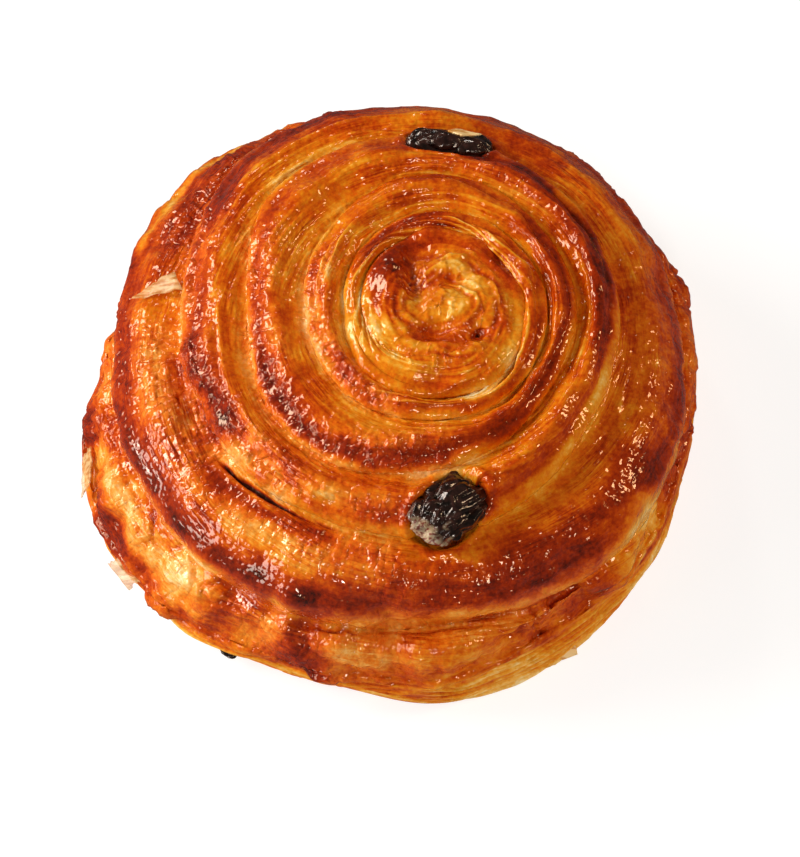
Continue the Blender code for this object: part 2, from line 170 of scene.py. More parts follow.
def crestPoint(turn):
    return smoothCurve(crestRadii, turn), smoothCurve(swirl["crestHeight"], turn)


def outerFace(turn, rows):
    radius, height = crestPoint(turn)
    width, drop, under = (smoothCurve(swirl["outerFace"], turn, c) for c in (1, 2, 3))
    belly = 1.0 + 0.2 * fade(0.9, 1.4, turn)
    corners = (
        (radius, height),
        (radius + 0.8 * width, height - 0.12 * drop),
        (radius + belly * width, height - 0.55 * drop),
        (radius + width - under, height - drop),
    )
    points = []
    for i in range(rows + 1):
        s = i / rows
        weights = ((1 - s) ** 3, 3 * (1 - s) ** 2 * s, 3 * (1 - s) * s**2, s**3)
        points.append([sum(w * corner[axis] for w, corner in zip(weights, corners)) for axis in (0, 1)])
    return points[:-1], points[-1]


# Rows from the knob's middle to the base's middle. Each row carries its turn and its place in
# the band: 0 at the groove, 1 at the crest, up to 2 down the outer face; 3 and up on the side, 4 below.
def profile(share):
    angle = np.radians(swirl["tailAngle"] - 360.0 * share)
    rows, turns, places = [], [], []
    riseRows, faceRows = swirl["riseRows"], swirl["faceRows"]
    for lap in range(swirl["turns"]):
        turn = lap + share
        crest = crestPoint(turn)
        groove = outerFace(turn - 1, faceRows)[1] if lap else (0 * share, 0 * share + swirl["knobHeight"])
        swell = smoothCurve(swirl["bandSwell"], turn) * fade(0.0, 3.5, crest[0] - groove[0])
        band = []
        for i in range(riseRows):
            s = i / riseRows
            radius = groove[0] + (crest[0] - groove[0]) * s
            height = groove[1] + (crest[1] - groove[1]) * s
            band.append((radius, height + swell * math.sin(math.pi * s ** swirl["riseShape"])))
            places.append(s)
        face, edge = outerFace(turn, faceRows)
        band += face
        places += [1 + i / faceRows for i in range(faceRows)]
        if lap == swirl["turns"] - 1:
            keep = 1 - fade(swirl["turns"] - 0.09, swirl["turns"], turn)
            band = [tuple(g + (p - g) * keep for g, p in zip(groove, point)) for point in band]
            edge = tuple(g + (p - g) * keep for g, p in zip(groove, edge))
        rows += band
        turns += [turn] * len(band)
    base = smoothCurve(baseRadii, np.degrees(angle))
    for i in range(swirl["wallRows"]):
        s = i / swirl["wallRows"]
        radius = edge[0] + (base - edge[0]) * fade(0, 1, s) + swirl["sideBulge"] * math.sin(math.pi * s)
        rows.append((radius, edge[1] * (1 - s)))
        turns.append(swirl["turns"] + share)
        places.append(3 + s)
    for i in range(swirl["baseRows"]):
        rows.append((base * (1 - i / swirl["baseRows"]), 0 * base))
        turns.append(swirl["turns"] + share)
        places.append(4 + i / swirl["baseRows"])
    return angle, np.array(rows), np.array(turns), np.array(places)


# Sum of soft ovals: right, back, length, width, direction of the length, strength
def ovals(spots, x, y):
    total = np.zeros_like(x)
    for right, back, length, width, lie, strength in spots:
        angle = math.radians(lie)
        along = (x - right) * math.cos(angle) + (y - back) * math.sin(angle)
        across = (y - back) * math.cos(angle) - (x - right) * math.sin(angle)
        total += strength * np.exp(-((2 * along / length) ** 2) - (2 * across / width) ** 2)
    return total


def lumpPush(x, y):
    out, up = np.zeros_like(x), np.zeros_like(x)
    for direction, atTurn, length, width, height in swirl["lumps"]:
        angle = math.radians(direction)
        share = ((swirl["tailAngle"] - direction) / 360.0) % 1.0
        lap = math.floor(atTurn)
        outer = float(crestPoint(np.array(lap + share))[0])
        inner = float(crestPoint(np.array(lap - 1 + share))[0]) if lap else 0.0
        radius = inner + (outer - inner) * (atTurn - lap)
        right, back = x - radius * math.cos(angle), y - radius * math.sin(angle)
        along = back * math.cos(angle) - right * math.sin(angle)
        across = right * math.cos(angle) + back * math.sin(angle)
        push = height * np.exp(-((2 * along / length) ** 2) - (2 * across / width) ** 2)
        lean = math.radians(swirl["lumpLean"]) * fade(5.8, 6.2, atTurn)
        out += push * math.sin(lean)
        up += push * math.cos(lean)
    return out, up + ovals(swirl["knobFolds"], x, y)


# Repeatable random number from 0 to 1 for each whole-number cell
def cellNumber(cells, seed):
    n = cells[..., 0] * 73856093 ^ cells[..., 1] * 19349663 ^ cells[..., 2] * 83492791 ^ (seed * 2654435761)
    n = (n ^ (n >> 15)) * 2246822519 & 0xFFFFFFFF
    n = (n ^ (n >> 13)) * 3266489917 & 0xFFFFFFFF
    n = n ^ (n >> 16)
    return (n & 0xFFFFFF) / 0xFFFFFF


oblique = np.array(Euler((0.5, 0.9, 0.4)).to_matrix())     # turns the bumps so that none lines up with an axis


# Smooth random relief from -1 to 1; size is the width of one bump, a number or one for each axis
def rough(points, size, seed):
    if np.ndim(size) == 0:
        points = points @ oblique
    p = points / np.asarray(size, float) + seed * 0.37
    cell = np.floor(p).astype(np.int64)
    f = p - cell
    f = f * f * f * (f * (f * 6 - 15) + 10)
    total = 0
    for corner in range(8):
        bits = np.array([corner & 1, corner >> 1 & 1, corner >> 2 & 1])
        weight = np.prod(np.where(bits, f, 1 - f), axis=-1)
        total = total + weight * cellNumber(cell + bits, seed)
    return 2 * total - 1


# Distance to the nearest and second nearest of random points, one to a cell, and the nearest's number
def nearest(points, size, seed):
    p = points / np.asarray(size, float)
    cell = np.floor(p).astype(np.int64)
    first = np.full(p.shape[:-1], 9.0)
    second, label = first.copy(), 0 * first
    for step in np.ndindex(3, 3, 3):
        at = cell + np.array(step) - 1
        spot = at + np.stack([cellNumber(at, seed + k) for k in range(3)], axis=-1)
        distance = np.linalg.norm(p - spot, axis=-1)
        closer = distance < first
        second = np.where(closer, first, np.minimum(second, distance))
        label = np.where(closer, cellNumber(at, seed + 7), label)
        first = np.where(closer, distance, first)
    return first, second, label


# Narrow ridges from 0 to 1, wandering lines where the smooth relief passes through 0
def ridges(points, size, seed, sharpness):
    return np.clip(1 - sharpness * np.abs(rough(points, size, seed)), 0, 1)


def buildSwirl():
    columns = swirl["columns"]
    share = np.arange(columns) / columns
    angle, rows, turns, places = profile(share)
    count = len(rows)
    block = swirl["riseRows"] + swirl["faceRows"]
    top = block * swirl["turns"]
    radius, z = rows[:, 0].copy(), rows[:, 1].copy()
    out, up = lumpPush(radius[:top] * np.cos(angle), radius[:top] * np.sin(angle))
    low = fade(*swirl["lumpFoot"], z[:top])
    radius[:top] += out * low
    z[:top] += up * low
    points = np.stack([radius * np.cos(angle), radius * np.sin(angle), z], axis=-1).reshape(-1, 3)
    points = np.concatenate([points, [[0, 0, swirl["knobHeight"]], [0, 0, 0]]])
    size = swirl["waveHeight"] * fade(0.0, 12.0, points[:, 2])
    shifts = []
    for seed in swirl["waveSeeds"]:
        shifts.append([noise.noise(Vector(p) / swirl["waveLength"] + Vector(seed)) for p in points])
    points += np.array(shifts).T * size[:, None]

    # The last column meets the first one a turn further out, so the roll goes on across it
    index = np.arange(count * columns).reshape(count, columns)
    middleTop = count * columns
    index[0, :] = middleTop
    index[: block + 1, 0] = middleTop
    wrapped = np.concatenate([index, index[:, :1]], axis=1)
    wrapped[:top, columns] = [index[min(i + block, top), 0] for i in range(top)]
    wrapped = np.concatenate([wrapped, np.full((1, columns + 1), middleTop + 1)], axis=0)

    # Millimetres along the roll and across its bands, for streaks that follow the roll
    turnSteps = np.linspace(0, swirl["turns"] + 1, 801)
    stride = 2 * np.pi * crestPoint(turnSteps)[0] * (turnSteps[1] - turnSteps[0])
    length = np.concatenate([[0], np.cumsum(stride[1:])])
    steps = np.hypot(*np.diff(rows, axis=0).transpose(1, 0, 2))
    across = np.concatenate([np.zeros((1, columns)), np.cumsum(steps, axis=0)])
    along = np.interp(turns, turnSteps, length)
    acrossWide = np.concatenate([across, across[:, :1]], axis=1)
    acrossWide[:top, columns] = [across[min(i + block, top), 0] for i in range(top)]
    acrossWide = np.concatenate([acrossWide, acrossWide[-1:] + 10.0], axis=0)
    lastShare = np.arange(columns + 1) / columns
    faces, faceUvs, faceRows = [], [], []
    for i in range(count):
        lap = min(i // block, swirl["turns"])
        u = np.interp(lap + lastShare, turnSteps, length)
        for j in range(columns):
            corners, uv = [], []
            for a, b in ((i, j), (i, j + 1), (i + 1, j + 1), (i + 1, j)):
                corner = int(wrapped[a, b])
                if corner not in corners:
                    corners.append(corner)
                    uv.append((u[b], acrossWide[a, b]))
            if len(corners) > 2:
                faces.append(corners)
                faceUvs.append(uv)
                faceRows.append(i)
    place = np.repeat(places, columns).reshape(count, columns)
    grid = points[: count * columns].reshape(count, columns, 3)
    grooveRows = np.array([min(i // block, swirl["turns"] - 1) * block for i in range(count)])
    return {
        "points": points, "faces": faces, "faceUvs": faceUvs, "faceRows": faceRows,
        "grid": grid, "share": share, "flatRadius": rows[:, 0], "turns": turns, "place": place,
        "rolled": np.stack([along, across, turns * 9.0], axis=-1), "angle": angle,
        "fromGroove": across - across[grooveRows],
        "fromCrest": across - across[grooveRows + swirl["riseRows"]],
        "onTop": place < 2, "onSide": (place >= 3) & (place < 4),
        "onKnob": (1 - fade(*swirl["knobEdge"], rows[:, 0])) * (place < 2),
        "outward": fade(*swirl["fineTurns"], turns),
    }


def vertexNormals(points, faces):
    mesh = bpy.data.meshes.new("whole")
    mesh.from_pydata((points * mm).tolist(), [], faces)
    normals = np.zeros(len(points) * 3, np.float32)
    mesh.vertex_normals.foreach_get("vector", normals)
    bpy.data.meshes.remove(mesh)
    return normals.reshape(-1, 3)


def finishPiece(name, mesh, material):
    mesh.shade_smooth()
    mesh.materials.append(material)
    made = bpy.data.objects.new(name, mesh)
    bpy.context.scene.collection.objects.link(made)
    return made


# One piece of the crust: the faces of some rows, with the whole's shading along its edges
def cutPiece(name, rows, at, normals, fields, material):
    chosen = [k for k, row in enumerate(at["faceRows"]) if rows[0] <= row < rows[1]]
    used = np.unique([corner for k in chosen for corner in at["faces"][k]])
    renumbered = np.zeros(len(at["points"]), int)
    renumbered[used] = np.arange(len(used))
    renumbered = renumbered.tolist()
    faces = [[renumbered[corner] for corner in at["faces"][k]] for k in chosen]
    mesh = bpy.data.meshes.new(name)
    mesh.from_pydata((at["points"][used] * mm).tolist(), [], faces)
    layer = mesh.uv_layers.new(name="alongRoll")
    uvs = np.array([uv for k in chosen for uv in at["faceUvs"][k]], np.float32)
    layer.data.foreach_set("uv", uvs.ravel())
    for field, values in fields.items():
        made = mesh.attributes.new(field, "FLOAT", "POINT")
        made.data.foreach_set("value", values[used].astype(np.float32))
    made = finishPiece(name, mesh, material)
    mesh.normals_split_custom_set_from_vertices(normals[used].tolist())
    return made


# How strongly each vertex lies in a list of patches
def patchMask(patches, share, flatRadius, wobble, tapered=False):
    total = np.zeros_like(flatRadius)
    direction = swirl["tailAngle"] - 360.0 * share
    for start, end, startTurn, endTurn, width, strength in patches:
        span = (start - end) % 360.0
        past = (start - direction) % 360.0
        past = np.where(past > 180 + span / 2, past - 360, past)
        here = ((swirl["tailAngle"] - start) / 360.0) % 1.0 + past / 360.0
        atTurn = startTurn + (endTurn - startTurn) * np.clip(past / span, 0, 1)
        lap = np.floor(startTurn)
        inner, outer = crestPoint(lap - 1 + here)[0], crestPoint(lap + here)[0]
        radius = inner + (outer - inner) * (atTurn - lap)
        soft = np.degrees(np.minimum(3.0, width) / np.maximum(radius, 4.0))
        window = fade(-soft, soft, past) * (1 - fade(span - soft, span + soft, past))
        if tapered:
            window = np.sqrt(np.sin(np.pi * np.clip(past / span, 0, 1)))
        total += strength * window * np.exp(-((2 * (flatRadius - radius) / width + wobble) ** 2))
    return total


raisins = {   # mm; socket is the hollow's width over the raisin's, None for the one at the rim
    "raisin_front": {
        "centre": (1.8, -34.6, 37.0), "half": (7.0, 5.1, 3.9), "angles": (10, 6, 57),
        "lean": -0.16, "fold": 0.9, "detail": 7, "sugar": 1.0, "socket": 0.94,
    },
    "raisin_back": {
        "centre": (2.4, 35.2, 37.2), "half": (7.9, 2.9, 3.2), "angles": (-14, 2, -5),
        "lean": 0.0, "fold": 0.5, "detail": 7, "sugar": 0.0, "socket": 1.0,
    },
    "raisin_rim": {
        "centre": (-36.4, -47.3, 3.2), "half": (1.7, 1.3, 1.1), "angles": (10, 20, -30),
        "lean": 0.0, "fold": 0.3, "detail": 5, "sugar": 0.0, "socket": None,
    },
}
raisinForm = {
    "squareness": 2.8,
    "broad": (6.0, 2.6, 3.0),     # mm along the folds and across them, sharpness
    "fine": (4.6, 1.9, 2.6),
    "broadMiddle": 0.6,
    "fineMiddle": 0.7,
    "fineShift": (3.1, 7.7, 1.3),
    "fineDepth": 0.32,
    "sugarFrom": 0.66,            # how far towards its left end the sugar starts
    "sugarEdge": 3.0,
    "sugarRagged": 0.4,
    "sugarPatch": 1.5,            # mm
    "sugarGrain": 0.5,
    "sugarDepth": 0.3,
}


# Patches of the crust: direction from, direction to (clockwise), turn at either end, width in mm,
# strength. A whole turn number lies on a crest, and the part after the point is the way to the next.
crust = {
    "bake": (      # how brown: turn, groove, middle of the band, crest, width of the browned crest in mm
        (0, 0.46, 0.46, 0.46, 2), (0.9, 0.44, 0.45, 0.46, 2), (1.2, 0.4, 0.41, 0.46, 1.2),
        (1.9, 0.38, 0.42, 0.5, 1.4), (2.15, 0.28, 0.4, 0.54, 1.5), (3, 0.28, 0.44, 0.6, 2.2),
        (4, 0.29, 0.45, 0.62, 2.4), (5, 0.3, 0.46, 0.62, 2.6), (5.45, 0.36, 0.5, 0.64, 2.8),
        (5.65, 0.34, 0.47, 0.72, 3.6), (5.9, 0.33, 0.44, 0.7, 3.4), (6.05, 0.36, 0.5, 0.6, 3),
        (6.5, 0.32, 0.44, 0.5, 4), (7, 0.3, 0.44, 0.5, 4),
    ),
    "valley": (1.5, 0.8, 175),   # mm of pale groove: mean, change round the swirl, direction where widest
    "sideBake": 0.31,
    "sideTopBake": 0.5,
    "knobBake": 0.41,
    "baseBake": 0.45,
    "browner": (
        (80, -20, 4.95, 4.93, 4, 0.34), (150, 100, 5.9, 5.9, 3.5, 0.1), (-30, -80, 5.84, 5.8, 8, 0.14),
        (150, 128, 1.85, 1.8, 4, 0.2), (-60, -100, 1.8, 1.8, 4, 0.08), (-150, -178, 5.08, 5.14, 6, 0.32),
        (86, 78, 2.67, 2.67, 1.5, 0.15), (50, 42, 2.3, 2.3, 2, 0.18), (-110, -118, 6.9, 6.9, 5, 0.24),
        (-122, -126, 6.25, 6.25, 1.5, 0.2), (-54, -58, 6.6, 6.6, 2, 0.2), (108, 82, 3, 3, 3.5, 0.12),
        (-100, -165, 6, 6, 4.4, 0.16), (60, 0, 3.95, 3.95, 4, 0.06), (168, 120, 5.6, 5.6, 9, 0.16),
        (170, 150, 5.1, 5.1, 4, 0.1), (172, 158, 6.6, 6.6, 6, 0.14), (-118, -146, 5.4, 5.45, 2.4, 0.1),
        (-85, -160, 4, 4, 3.6, 0.07), (-110, -170, 5, 5, 3.6, 0.08), (-178, 165, 4.85, 4.85, 3, 0.1),
        (-20, -70, 4.2, 4.2, 5, 0.08), (100, 20, 4.5, 4.5, 4, 0.08), (-76, -112, 5.9, 5.95, 5, 0.08),
        (150, 60, 6, 6, 5, 0.08), (172, 166, 6.95, 6.95, 5, 0.3), (-170, -176, 6.97, 6.97, 5, 0.3),
        (-150, -160, 6.97, 6.97, 4, 0.25), (70, -60, 5.6, 5.5, 12, 0.05), (-30, -100, 5.8, 5.8, 8, 0.16),
        (-60, -150, 6.5, 6.5, 9, 0.05), (-128, -138, 6.9, 6.9, 4, 0.2), (-60, -84, 6.05, 6.05, 1.2, 0.12),
        (60, 10, 2.98, 3, 2, 0.12), (40, -30, 3.98, 3.98, 1.2, 0.16), (130, 70, 4.98, 4.98, 3, 0.08),
        (120, 60, 2.3, 2.35, 1.4, 0.16), (112, 72, 3.55, 3.55, 2, 0.16), (50, -30, 6.6, 6.6, 6, 0.06),
        (-58, -72, 5.1, 5.1, 3, 0.08), (-64, -82, 6.55, 6.55, 5, 0.06), (-114, -172, 6.25, 6.25, 5, 0.14),
        (-112, -134, 6.4, 6.4, 6, 0.12), (-116, -150, 5.34, 5.42, 1.6, 0.22),
        (-114, -134, 6.35, 6.35, 6, 0.06), (-150, -178, 6.3, 6.3, 6, 0.08), (-66, -90, 6.7, 6.7, 5, 0.08),
    ),
    "paler": (
        (-62, -96, 5.92, 5.93, 5, 0.09), (-92, -124, 5.96, 5.96, 5.5, 0.19), (36, -42, 5.3, 5.3, 6, 0.06),
        (12, -34, 5.06, 5.06, 2, 0.16), (-40, -62, 5.08, 5.08, 3, 0.09), (-98, -110, 6.8, 6.8, 5, 0.12),
        (-118, -127, 6.85, 6.85, 5, 0.12), (-86, -92, 6.75, 6.75, 4, 0.08), (24, -75, 5.1, 5.05, 1.6, 0.2),
        (-90, -96, 6.6, 6.6, 3.5, 0.18), (-68, -86, 6.4, 6.4, 3, 0.06), (-34, -50, 6.05, 6.2, 7, 0.28),
        (-80, -90, 6.6, 6.6, 6, 0.14), (-114, -152, 5.06, 5.1, 4.5, 0.2), (-134, -144, 6.6, 6.6, 5, 0.14),
        (-84, -100, 6.13, 6.13, 0.8, 0.12), (-30, -77, 2.5, 2.8, 2.4, 0.24),
        (-118, -148, 5, 5.02, 2.6, 0.26), (-150, 145, 1.04, 1.2, 2, 0.22), (-128, -165, 6.5, 6.5, 5, 0.14),
        (-112, -150, 5.62, 5.58, 4, 0.1), (-160, 176, 5.6, 5.6, 4, 0.08), (-162, -170, 6.9, 6.9, 4, 0.25),
        (-155, 160, 2.12, 2.12, 1.6, 0.16), (-166, 110, 4, 4, 3.6, 0.13), (-150, 130, 3, 3, 3, 0.12),
        (178, 120, 5, 5, 3, 0.08), (-25, -75, 2.25, 2.35, 4, 0.16), (10, -25, 2.3, 2.3, 4, 0.12),
        (159, 118, 6.98, 6.98, 1.8, 0.36), (-30, -42, 6.2, 6.2, 4, 0.1), (-72, -100, 4.25, 4.35, 5, 0.16),
        (150, 110, 5.3, 5.3, 3, 0.12), (-112, -124, 4.9, 4.9, 3, 0.14), (-116, -165, 6.3, 6.3, 5, 0.18),
        (-132, -140, 6.75, 6.75, 5, 0.18), (-64, -80, 6.5, 6.5, 5, 0.12), (-78, -92, 6.5, 6.5, 5, 0.06),
        (-152, -160, 6.6, 6.6, 4, 0.14),
    ),
    "layered": (   # where the cut shows its thin leaves
        (215, 135, 1.1, 1.3, 5, 1), (0, -80, 2.3, 2.5, 5, 1), (110, 10, 1.5, 2.3, 7, 0.6),
        (110, -10, 3.4, 3.4, 8, 0.7), (160, 90, 4.5, 4.5, 9, 0.6), (90, -20, 4.4, 4.4, 9, 0.8),
        (60, -40, 5.4, 5.4, 9, 0.5),
    ),
    "crinkled": (  # where the glaze has drawn into wrinkles
        (-130, 145, 5, 5, 5.5, 1), (-85, 150, 4, 4, 5.5, 1), (-110, 150, 3, 3, 4, 1),
        (-149, -171, 5.2, 5.3, 7, 1), (-100, 175, 5.6, 5.6, 8, 0.9), (-95, 165, 6.5, 6.5, 10, 0.8),
        (-60, -100, 5.9, 5.9, 5, 0.6), (-100, -112, 5, 5, 2.5, 0.6), (159, 110, 6.5, 6.5, 8, 0.7),
        (70, -60, 5.8, 5.7, 10, 0.22), (60, -30, 6.6, 6.6, 8, 0.6), (-108, -122, 6.75, 6.75, 6, 1),
        (90, 20, 4.6, 4.6, 3, 0.5), (-100, -145, 4.9, 4.9, 5, 0.6), (-55, -95, 6.5, 6.5, 7, 0.4),
    ),
    "combed": (    # fine streaks along the roll
        (-108, -178, 5.5, 5.55, 9, 1), (-112, -150, 5, 5, 4, 0.8), (90, -60, 5.4, 5.4, 8, 0.4),
    ),
    "glazed": (    # where the glaze has pooled thick and smooth
        (-104, -162, 5.93, 5.93, 9, 1), (148, 138, 6, 6, 3, 1),
    ),
    "spots": (     # browner or paler: right, back, length, width, direction of the length, strength
        (-8.4, 6.4, 13, 8, 96, 0.28), (-7.8, -1, 8, 5, 115, 0.16), (6.4, -5.2, 3.4, 3, 70, 0.3),
        (2.9, -1.5, 8, 6, 20, -0.12), (1, 9.3, 8, 4.5, 0, -0.14), (1.4, 5.3, 5, 2.2, -15, 0.2),
        (1.4, -9.6, 16, 8, 0, 0.12), (10.8, 8, 10, 2.2, -58, 0.26), (-4, 4.2, 4, 3, 20, 0.1),
        (0.9, 16.2, 8, 1.4, -8, 0.2), (11.8, 8.6, 9, 1.6, -52, 0.18), (5, 3.5, 10, 7, 60, -0.12),
        (-6.5, -11, 9, 5, -40, -0.1), (-2.7, 11.4, 5, 2.4, -35, 0.16), (1.5, 4.6, 8, 1.4, 20, 0.14),
        (-3, -6.6, 9, 1.4, -10, 0.12), (4, -11.6, 7, 1.4, 10, 0.12), (10, -2, 8, 3, 100, 0.1),
        (-4.6, 1, 6, 3, 60, -0.1), (12.5, -12.5, 9, 3, 35, -0.16), (7.6, 8.4, 9, 4.5, -50, 0.16),
        (7.8, 8.7, 14, 7, -42, 0.07), (7.8, -2.4, 10, 6, 90, 0.05), (-34.8, 12.7, 24, 10, 70, 0.1),
        (-24.2, 38.8, 20, 10, 32, 0.12), (-24.2, -21.2, 16, 10, 131, 0.07),
        (-24.2, -30.9, 18, 10, 142, 0.09), (-34.8, -21.2, 18, 10, 121, 0.07),
        (-24.2, -40.5, 16, 9, 149, 0.08), (-2.9, -31.3, 12, 7, 175, 0.07), (10.7, -28.6, 10, 7, 20, 0.07),
        (12.4, -40.9, 24, 9, 17, -0.07), (-24.2, -11.1, 14, 7, 115, -0.06), (-2.9, -12, 12, 7, 167, -0.07),
        (7.8, -12, 10, 6, 33, -0.05), (-13.5, 10, 12, 6, 53, -0.05), (-34.8, 25.5, 20, 10, 54, 0.09),
        (2.4, -53, 22, 5, 3, 0.05),
    ),
    "creases": (   # small folds of the knob, in mm of height
        (1, -8, 9, 1.6, -12, 0.5), (2.5, -10.4, 8, 1.4, -5, 0.5), (-1.5, -11.8, 7, 1.4, 0, 0.4),
        (6, -8.5, 5, 1.4, 40, 0.4), (1.4, 5.3, 5, 2, -15, -0.6), (3.5, 9.6, 6, 1.8, 10, 0.5),
        (-0.5, 8, 3, 2, 60, 0.5), (9.6, 3.5, 7, 1.3, -75, 0.5), (11.2, -1.5, 7, 1.3, 95, 0.5),
        (8.6, 8.4, 7, 1.2, -48, 0.5), (10.6, 8.6, 10, 1.6, -56, -0.9), (-4, -3.6, 6, 1.4, -55, 0.4),
    ),
    "slits": (     # cracks where the layers have opened
        (-128, -150, 5.21, 5.27, 0.7, 2.2), (-112, -136, 5.2, 5.24, 0.6, 1.2),
        (-34, -77, 2.6, 2.88, 0.8, 1.4), (52, 30, 5.08, 5.06, 0.8, 1.1), (-84, -104, 6.15, 6.15, 0.8, 1),
        (-60, -76, 6.2, 6.25, 0.8, 0.5), (150, 122, 4.1, 4.1, 0.7, 1),
    ),
    "slitLips": (  # raised edges beside them
        (-116, -148, 5.28, 5.36, 1.6, 0.8), (-118, -148, 5.1, 5.13, 2.4, 0.5),
        (-34, -77, 2.72, 3, 1.2, 0.4),
    ),
    "fills": (     # where a groove has baked shut, or a crest has sunk
        (105, -60, 2.15, 2.15, 3, 1.1), (-100, -165, 1.35, 1.2, 3, 0.7), (-95, -170, 2.3, 2.2, 2.5, 0.5),
        (60, -40, 2.5, 2.5, 3, 0.5), (60, -30, 3, 3, 2.5, -0.4), (20, -30, 3.1, 3.1, 2, 0.3),
        (-50, -150, 2.12, 2.12, 2.6, 0.9), (-165, -178, 5.05, 5.05, 4, 1.2), (99, 72, 4.94, 4.94, 4, -1.5),
    ),
    "edgeBumps": (  # bubbles that stand out of the skirt's edge
        (173, 165, 6.95, 6.95, 5, 1.5), (-177, 173, 6.95, 6.95, 5, 1.7), (-169, -177, 6.97, 6.97, 5, 1.5),
        (-150, -161, 6.97, 6.97, 5, 1.3), (-138, -144, 6.95, 6.95, 4, 0.9), (-104, -112, 6.9, 6.9, 6, 0.8),
        (44, 38, 6.9, 6.9, 4, 0.9), (30, 25, 6.9, 6.9, 4, 0.9), (18, 12, 6.9, 6.9, 4, 0.7),
        (4, -2, 6.9, 6.9, 4, 0.7), (78, 70, 6.9, 6.9, 4, 0.8), (62, 55, 6.9, 6.9, 4, 0.9),
        (-14, -20, 6.9, 6.9, 4, 0.6),
    ),
    "lineWidth": 1.15,      # mm from one open layer to the next near the knob
    "lineSpread": 0.9,      # how much wider they lie further out
    "arcWidth": 0.6,        # mm across one fine fold of the knob
    "bulge": 7,             # mm across the bulges of the skirt
    "leafHeight": 1.5,      # mm from one leaf of the side to the next
    "blister": {"spacing": 3.2, "least": 0.15, "spread": 0.28, "rarity": 0.55},
    "darkFrom": 0.66,       # the browning slows down above this
    "darkShare": 0.65,
}

# How much each form browns the crust. The groove line, slit, crease, raisin rim and side leaf tones are
# painted shade instead: they darken grooves, cracks, skirt creases, the crust round the raisins and the gaps
# between the side's leaves
tones = {
    "creviceShade": 0.16, "layerEdge": 0.06, "layerPale": 0.32, "layerRise": 0.2, "crumple": 0.08, "crease": 0.14,
    "raisinRim": 0.1, "arcs": 0.26, "slit": 0.8, "sideLeaf": 0.17, "overall": 0.02,
}

# How far each form stands up or sinks in, in mm
heights = {
    "layers": 0.36, "crumple": 0.42, "folds": 0.2, "sunkGlaze": 0.25, "calmCrumple": 0.08, "knobRidges": 0.3,
    "knobCrumple": 0.2, "blister": 0.36, "crease": 0.9, "slitLips": 0.7, "edgeBumps": 0.8, "arcs": 0.34,
    "sideLeaf": 0.5, "raisinRim": 0.5, "raisinSocket": 3.2,
}

# Random unevenness: taken through the solid or along the roll, mm across one bump (along the roll,
# across it, turn to turn), number of the pattern, strength
grain = {
    "wobble": ("grid", 5, 3, 0.6),                      # ragged edges of the patches
    "layerDrift": ("rolled", (26, 4, 40), 91, 1.1),     # how the open layers wander
    "layerWaver": ("rolled", (9, 1.6, 40), 95, 0.35),
    "knobDrift": ("grid", 12, 98, 1.8),
    "layerShow": ("rolled", (18, 5, 40), 92, 1.2),      # where they show
    "valleyEdge": ("rolled", (30, 30, 40), 15, 0.5),
    "crestEdge": ("grid", 6, 13, 0.8),
    "crestBake": ("rolled", (15, 8, 40), 17, 0.14),
    "creviceShadeShow": ("grid", 7, 14, 1.5),
    "sideTopEdge": ("grid", 4, 5, 0.05),
    "broadBake": ("grid", 9, 11, 0.09),
    "fineBake": ("grid", 2.6, 12, 0.08),
    "bandBake": ("rolled", (26, 5, 40), 16, 0.06),
    "streakBake": ("rolled", (16, 1.3, 40), 82, 0.07),
    "sideStreaks": ("grid", (14, 14, 2.5), 74, 0.18),
    "sideBake": ("grid", 5, 76, 0.06),
    "strands": ("rolled", (30, 2.4, 40), 81, 0.2),
    "swells": ("grid", 7, 41, 0.3),
    "dimples": ("grid", 2.8, 42, 0.14),
    "crestSwells": ("grid", 6.5, 51, 0.65),
    "crestBumps": ("rolled", (3.6, 3, 40), 52, 0.25),
    "knobSwells": ("grid", 4.2, 93, 0.45),
    "skirtSwells": ("grid", 6.5, 61, 1),
    "skirtBumps": ("grid", 3.2, 62, 0.42),
    "wrinkleShow": ("grid", 4, 106, 2),
    "creaseShow": ("grid", 9, 64, 1.2),
    "arcDrift": ("grid", 6, 96, 2.4),
    "leafDrift": ("grid", (16, 16, 9), 71, 1.6),        # how the leaves of the side wander
    "leafWaver": ("grid", (5, 5, 3), 73, 0.5),
    "leafDepth": ("grid", (7, 7, 4), 75, 0.3),
    "sideSwells": ("grid", (8, 8, 3), 72, 0.7),
}


# One of those, at every point of the crust
def grainAt(name, at):
    space, size, seed, strength = grain[name]
    return strength * rough(at[space], size, seed)


# A list of patches of the crust, on its top; tapered ones run out to a point at both ends
def patchesAt(name, at, wobble=1.0, tapered=False):
    found = patchMask(crust[name], at["share"], at["flatRadius"], wobble * at["wobble"], tapered)
    return np.where(at["onTop"], found, 0.0)


# Open layers of the dough: thin lines along the roll, each rising to its edge and dropping behind it
def openLayers(at):
    place = at["place"]
    width = crust["lineWidth"] * (1 + crust["lineSpread"] * at["outward"])
    drift = grainAt("layerDrift", at) + grainAt("layerWaver", at)
    drift += grainAt("knobDrift", at) * (1 - at["outward"])
    phase = (at["rolled"][..., 1] / width + drift) % 1.0
    amount = np.clip(0.2 + grainAt("layerShow", at) + patchesAt("layered", at), 0, 1) * at["onTop"]
    amount *= fade(0.0, 0.15, place) * (1 - fade(0.8, 1.0, place)) * (1 - at["onKnob"])   # groove to crest
    return amount, sawtooth(phase, 0.8), hump(phase - 0.78, 0.12)     # how open, rise of a leaf, its edge


# Distance from the middle of a squarish oval, 1 on its edge
def boxed(x, y):
    power = raisinForm["squareness"]
    return (abs(x) ** power + abs(y) ** power) ** (1 / power)


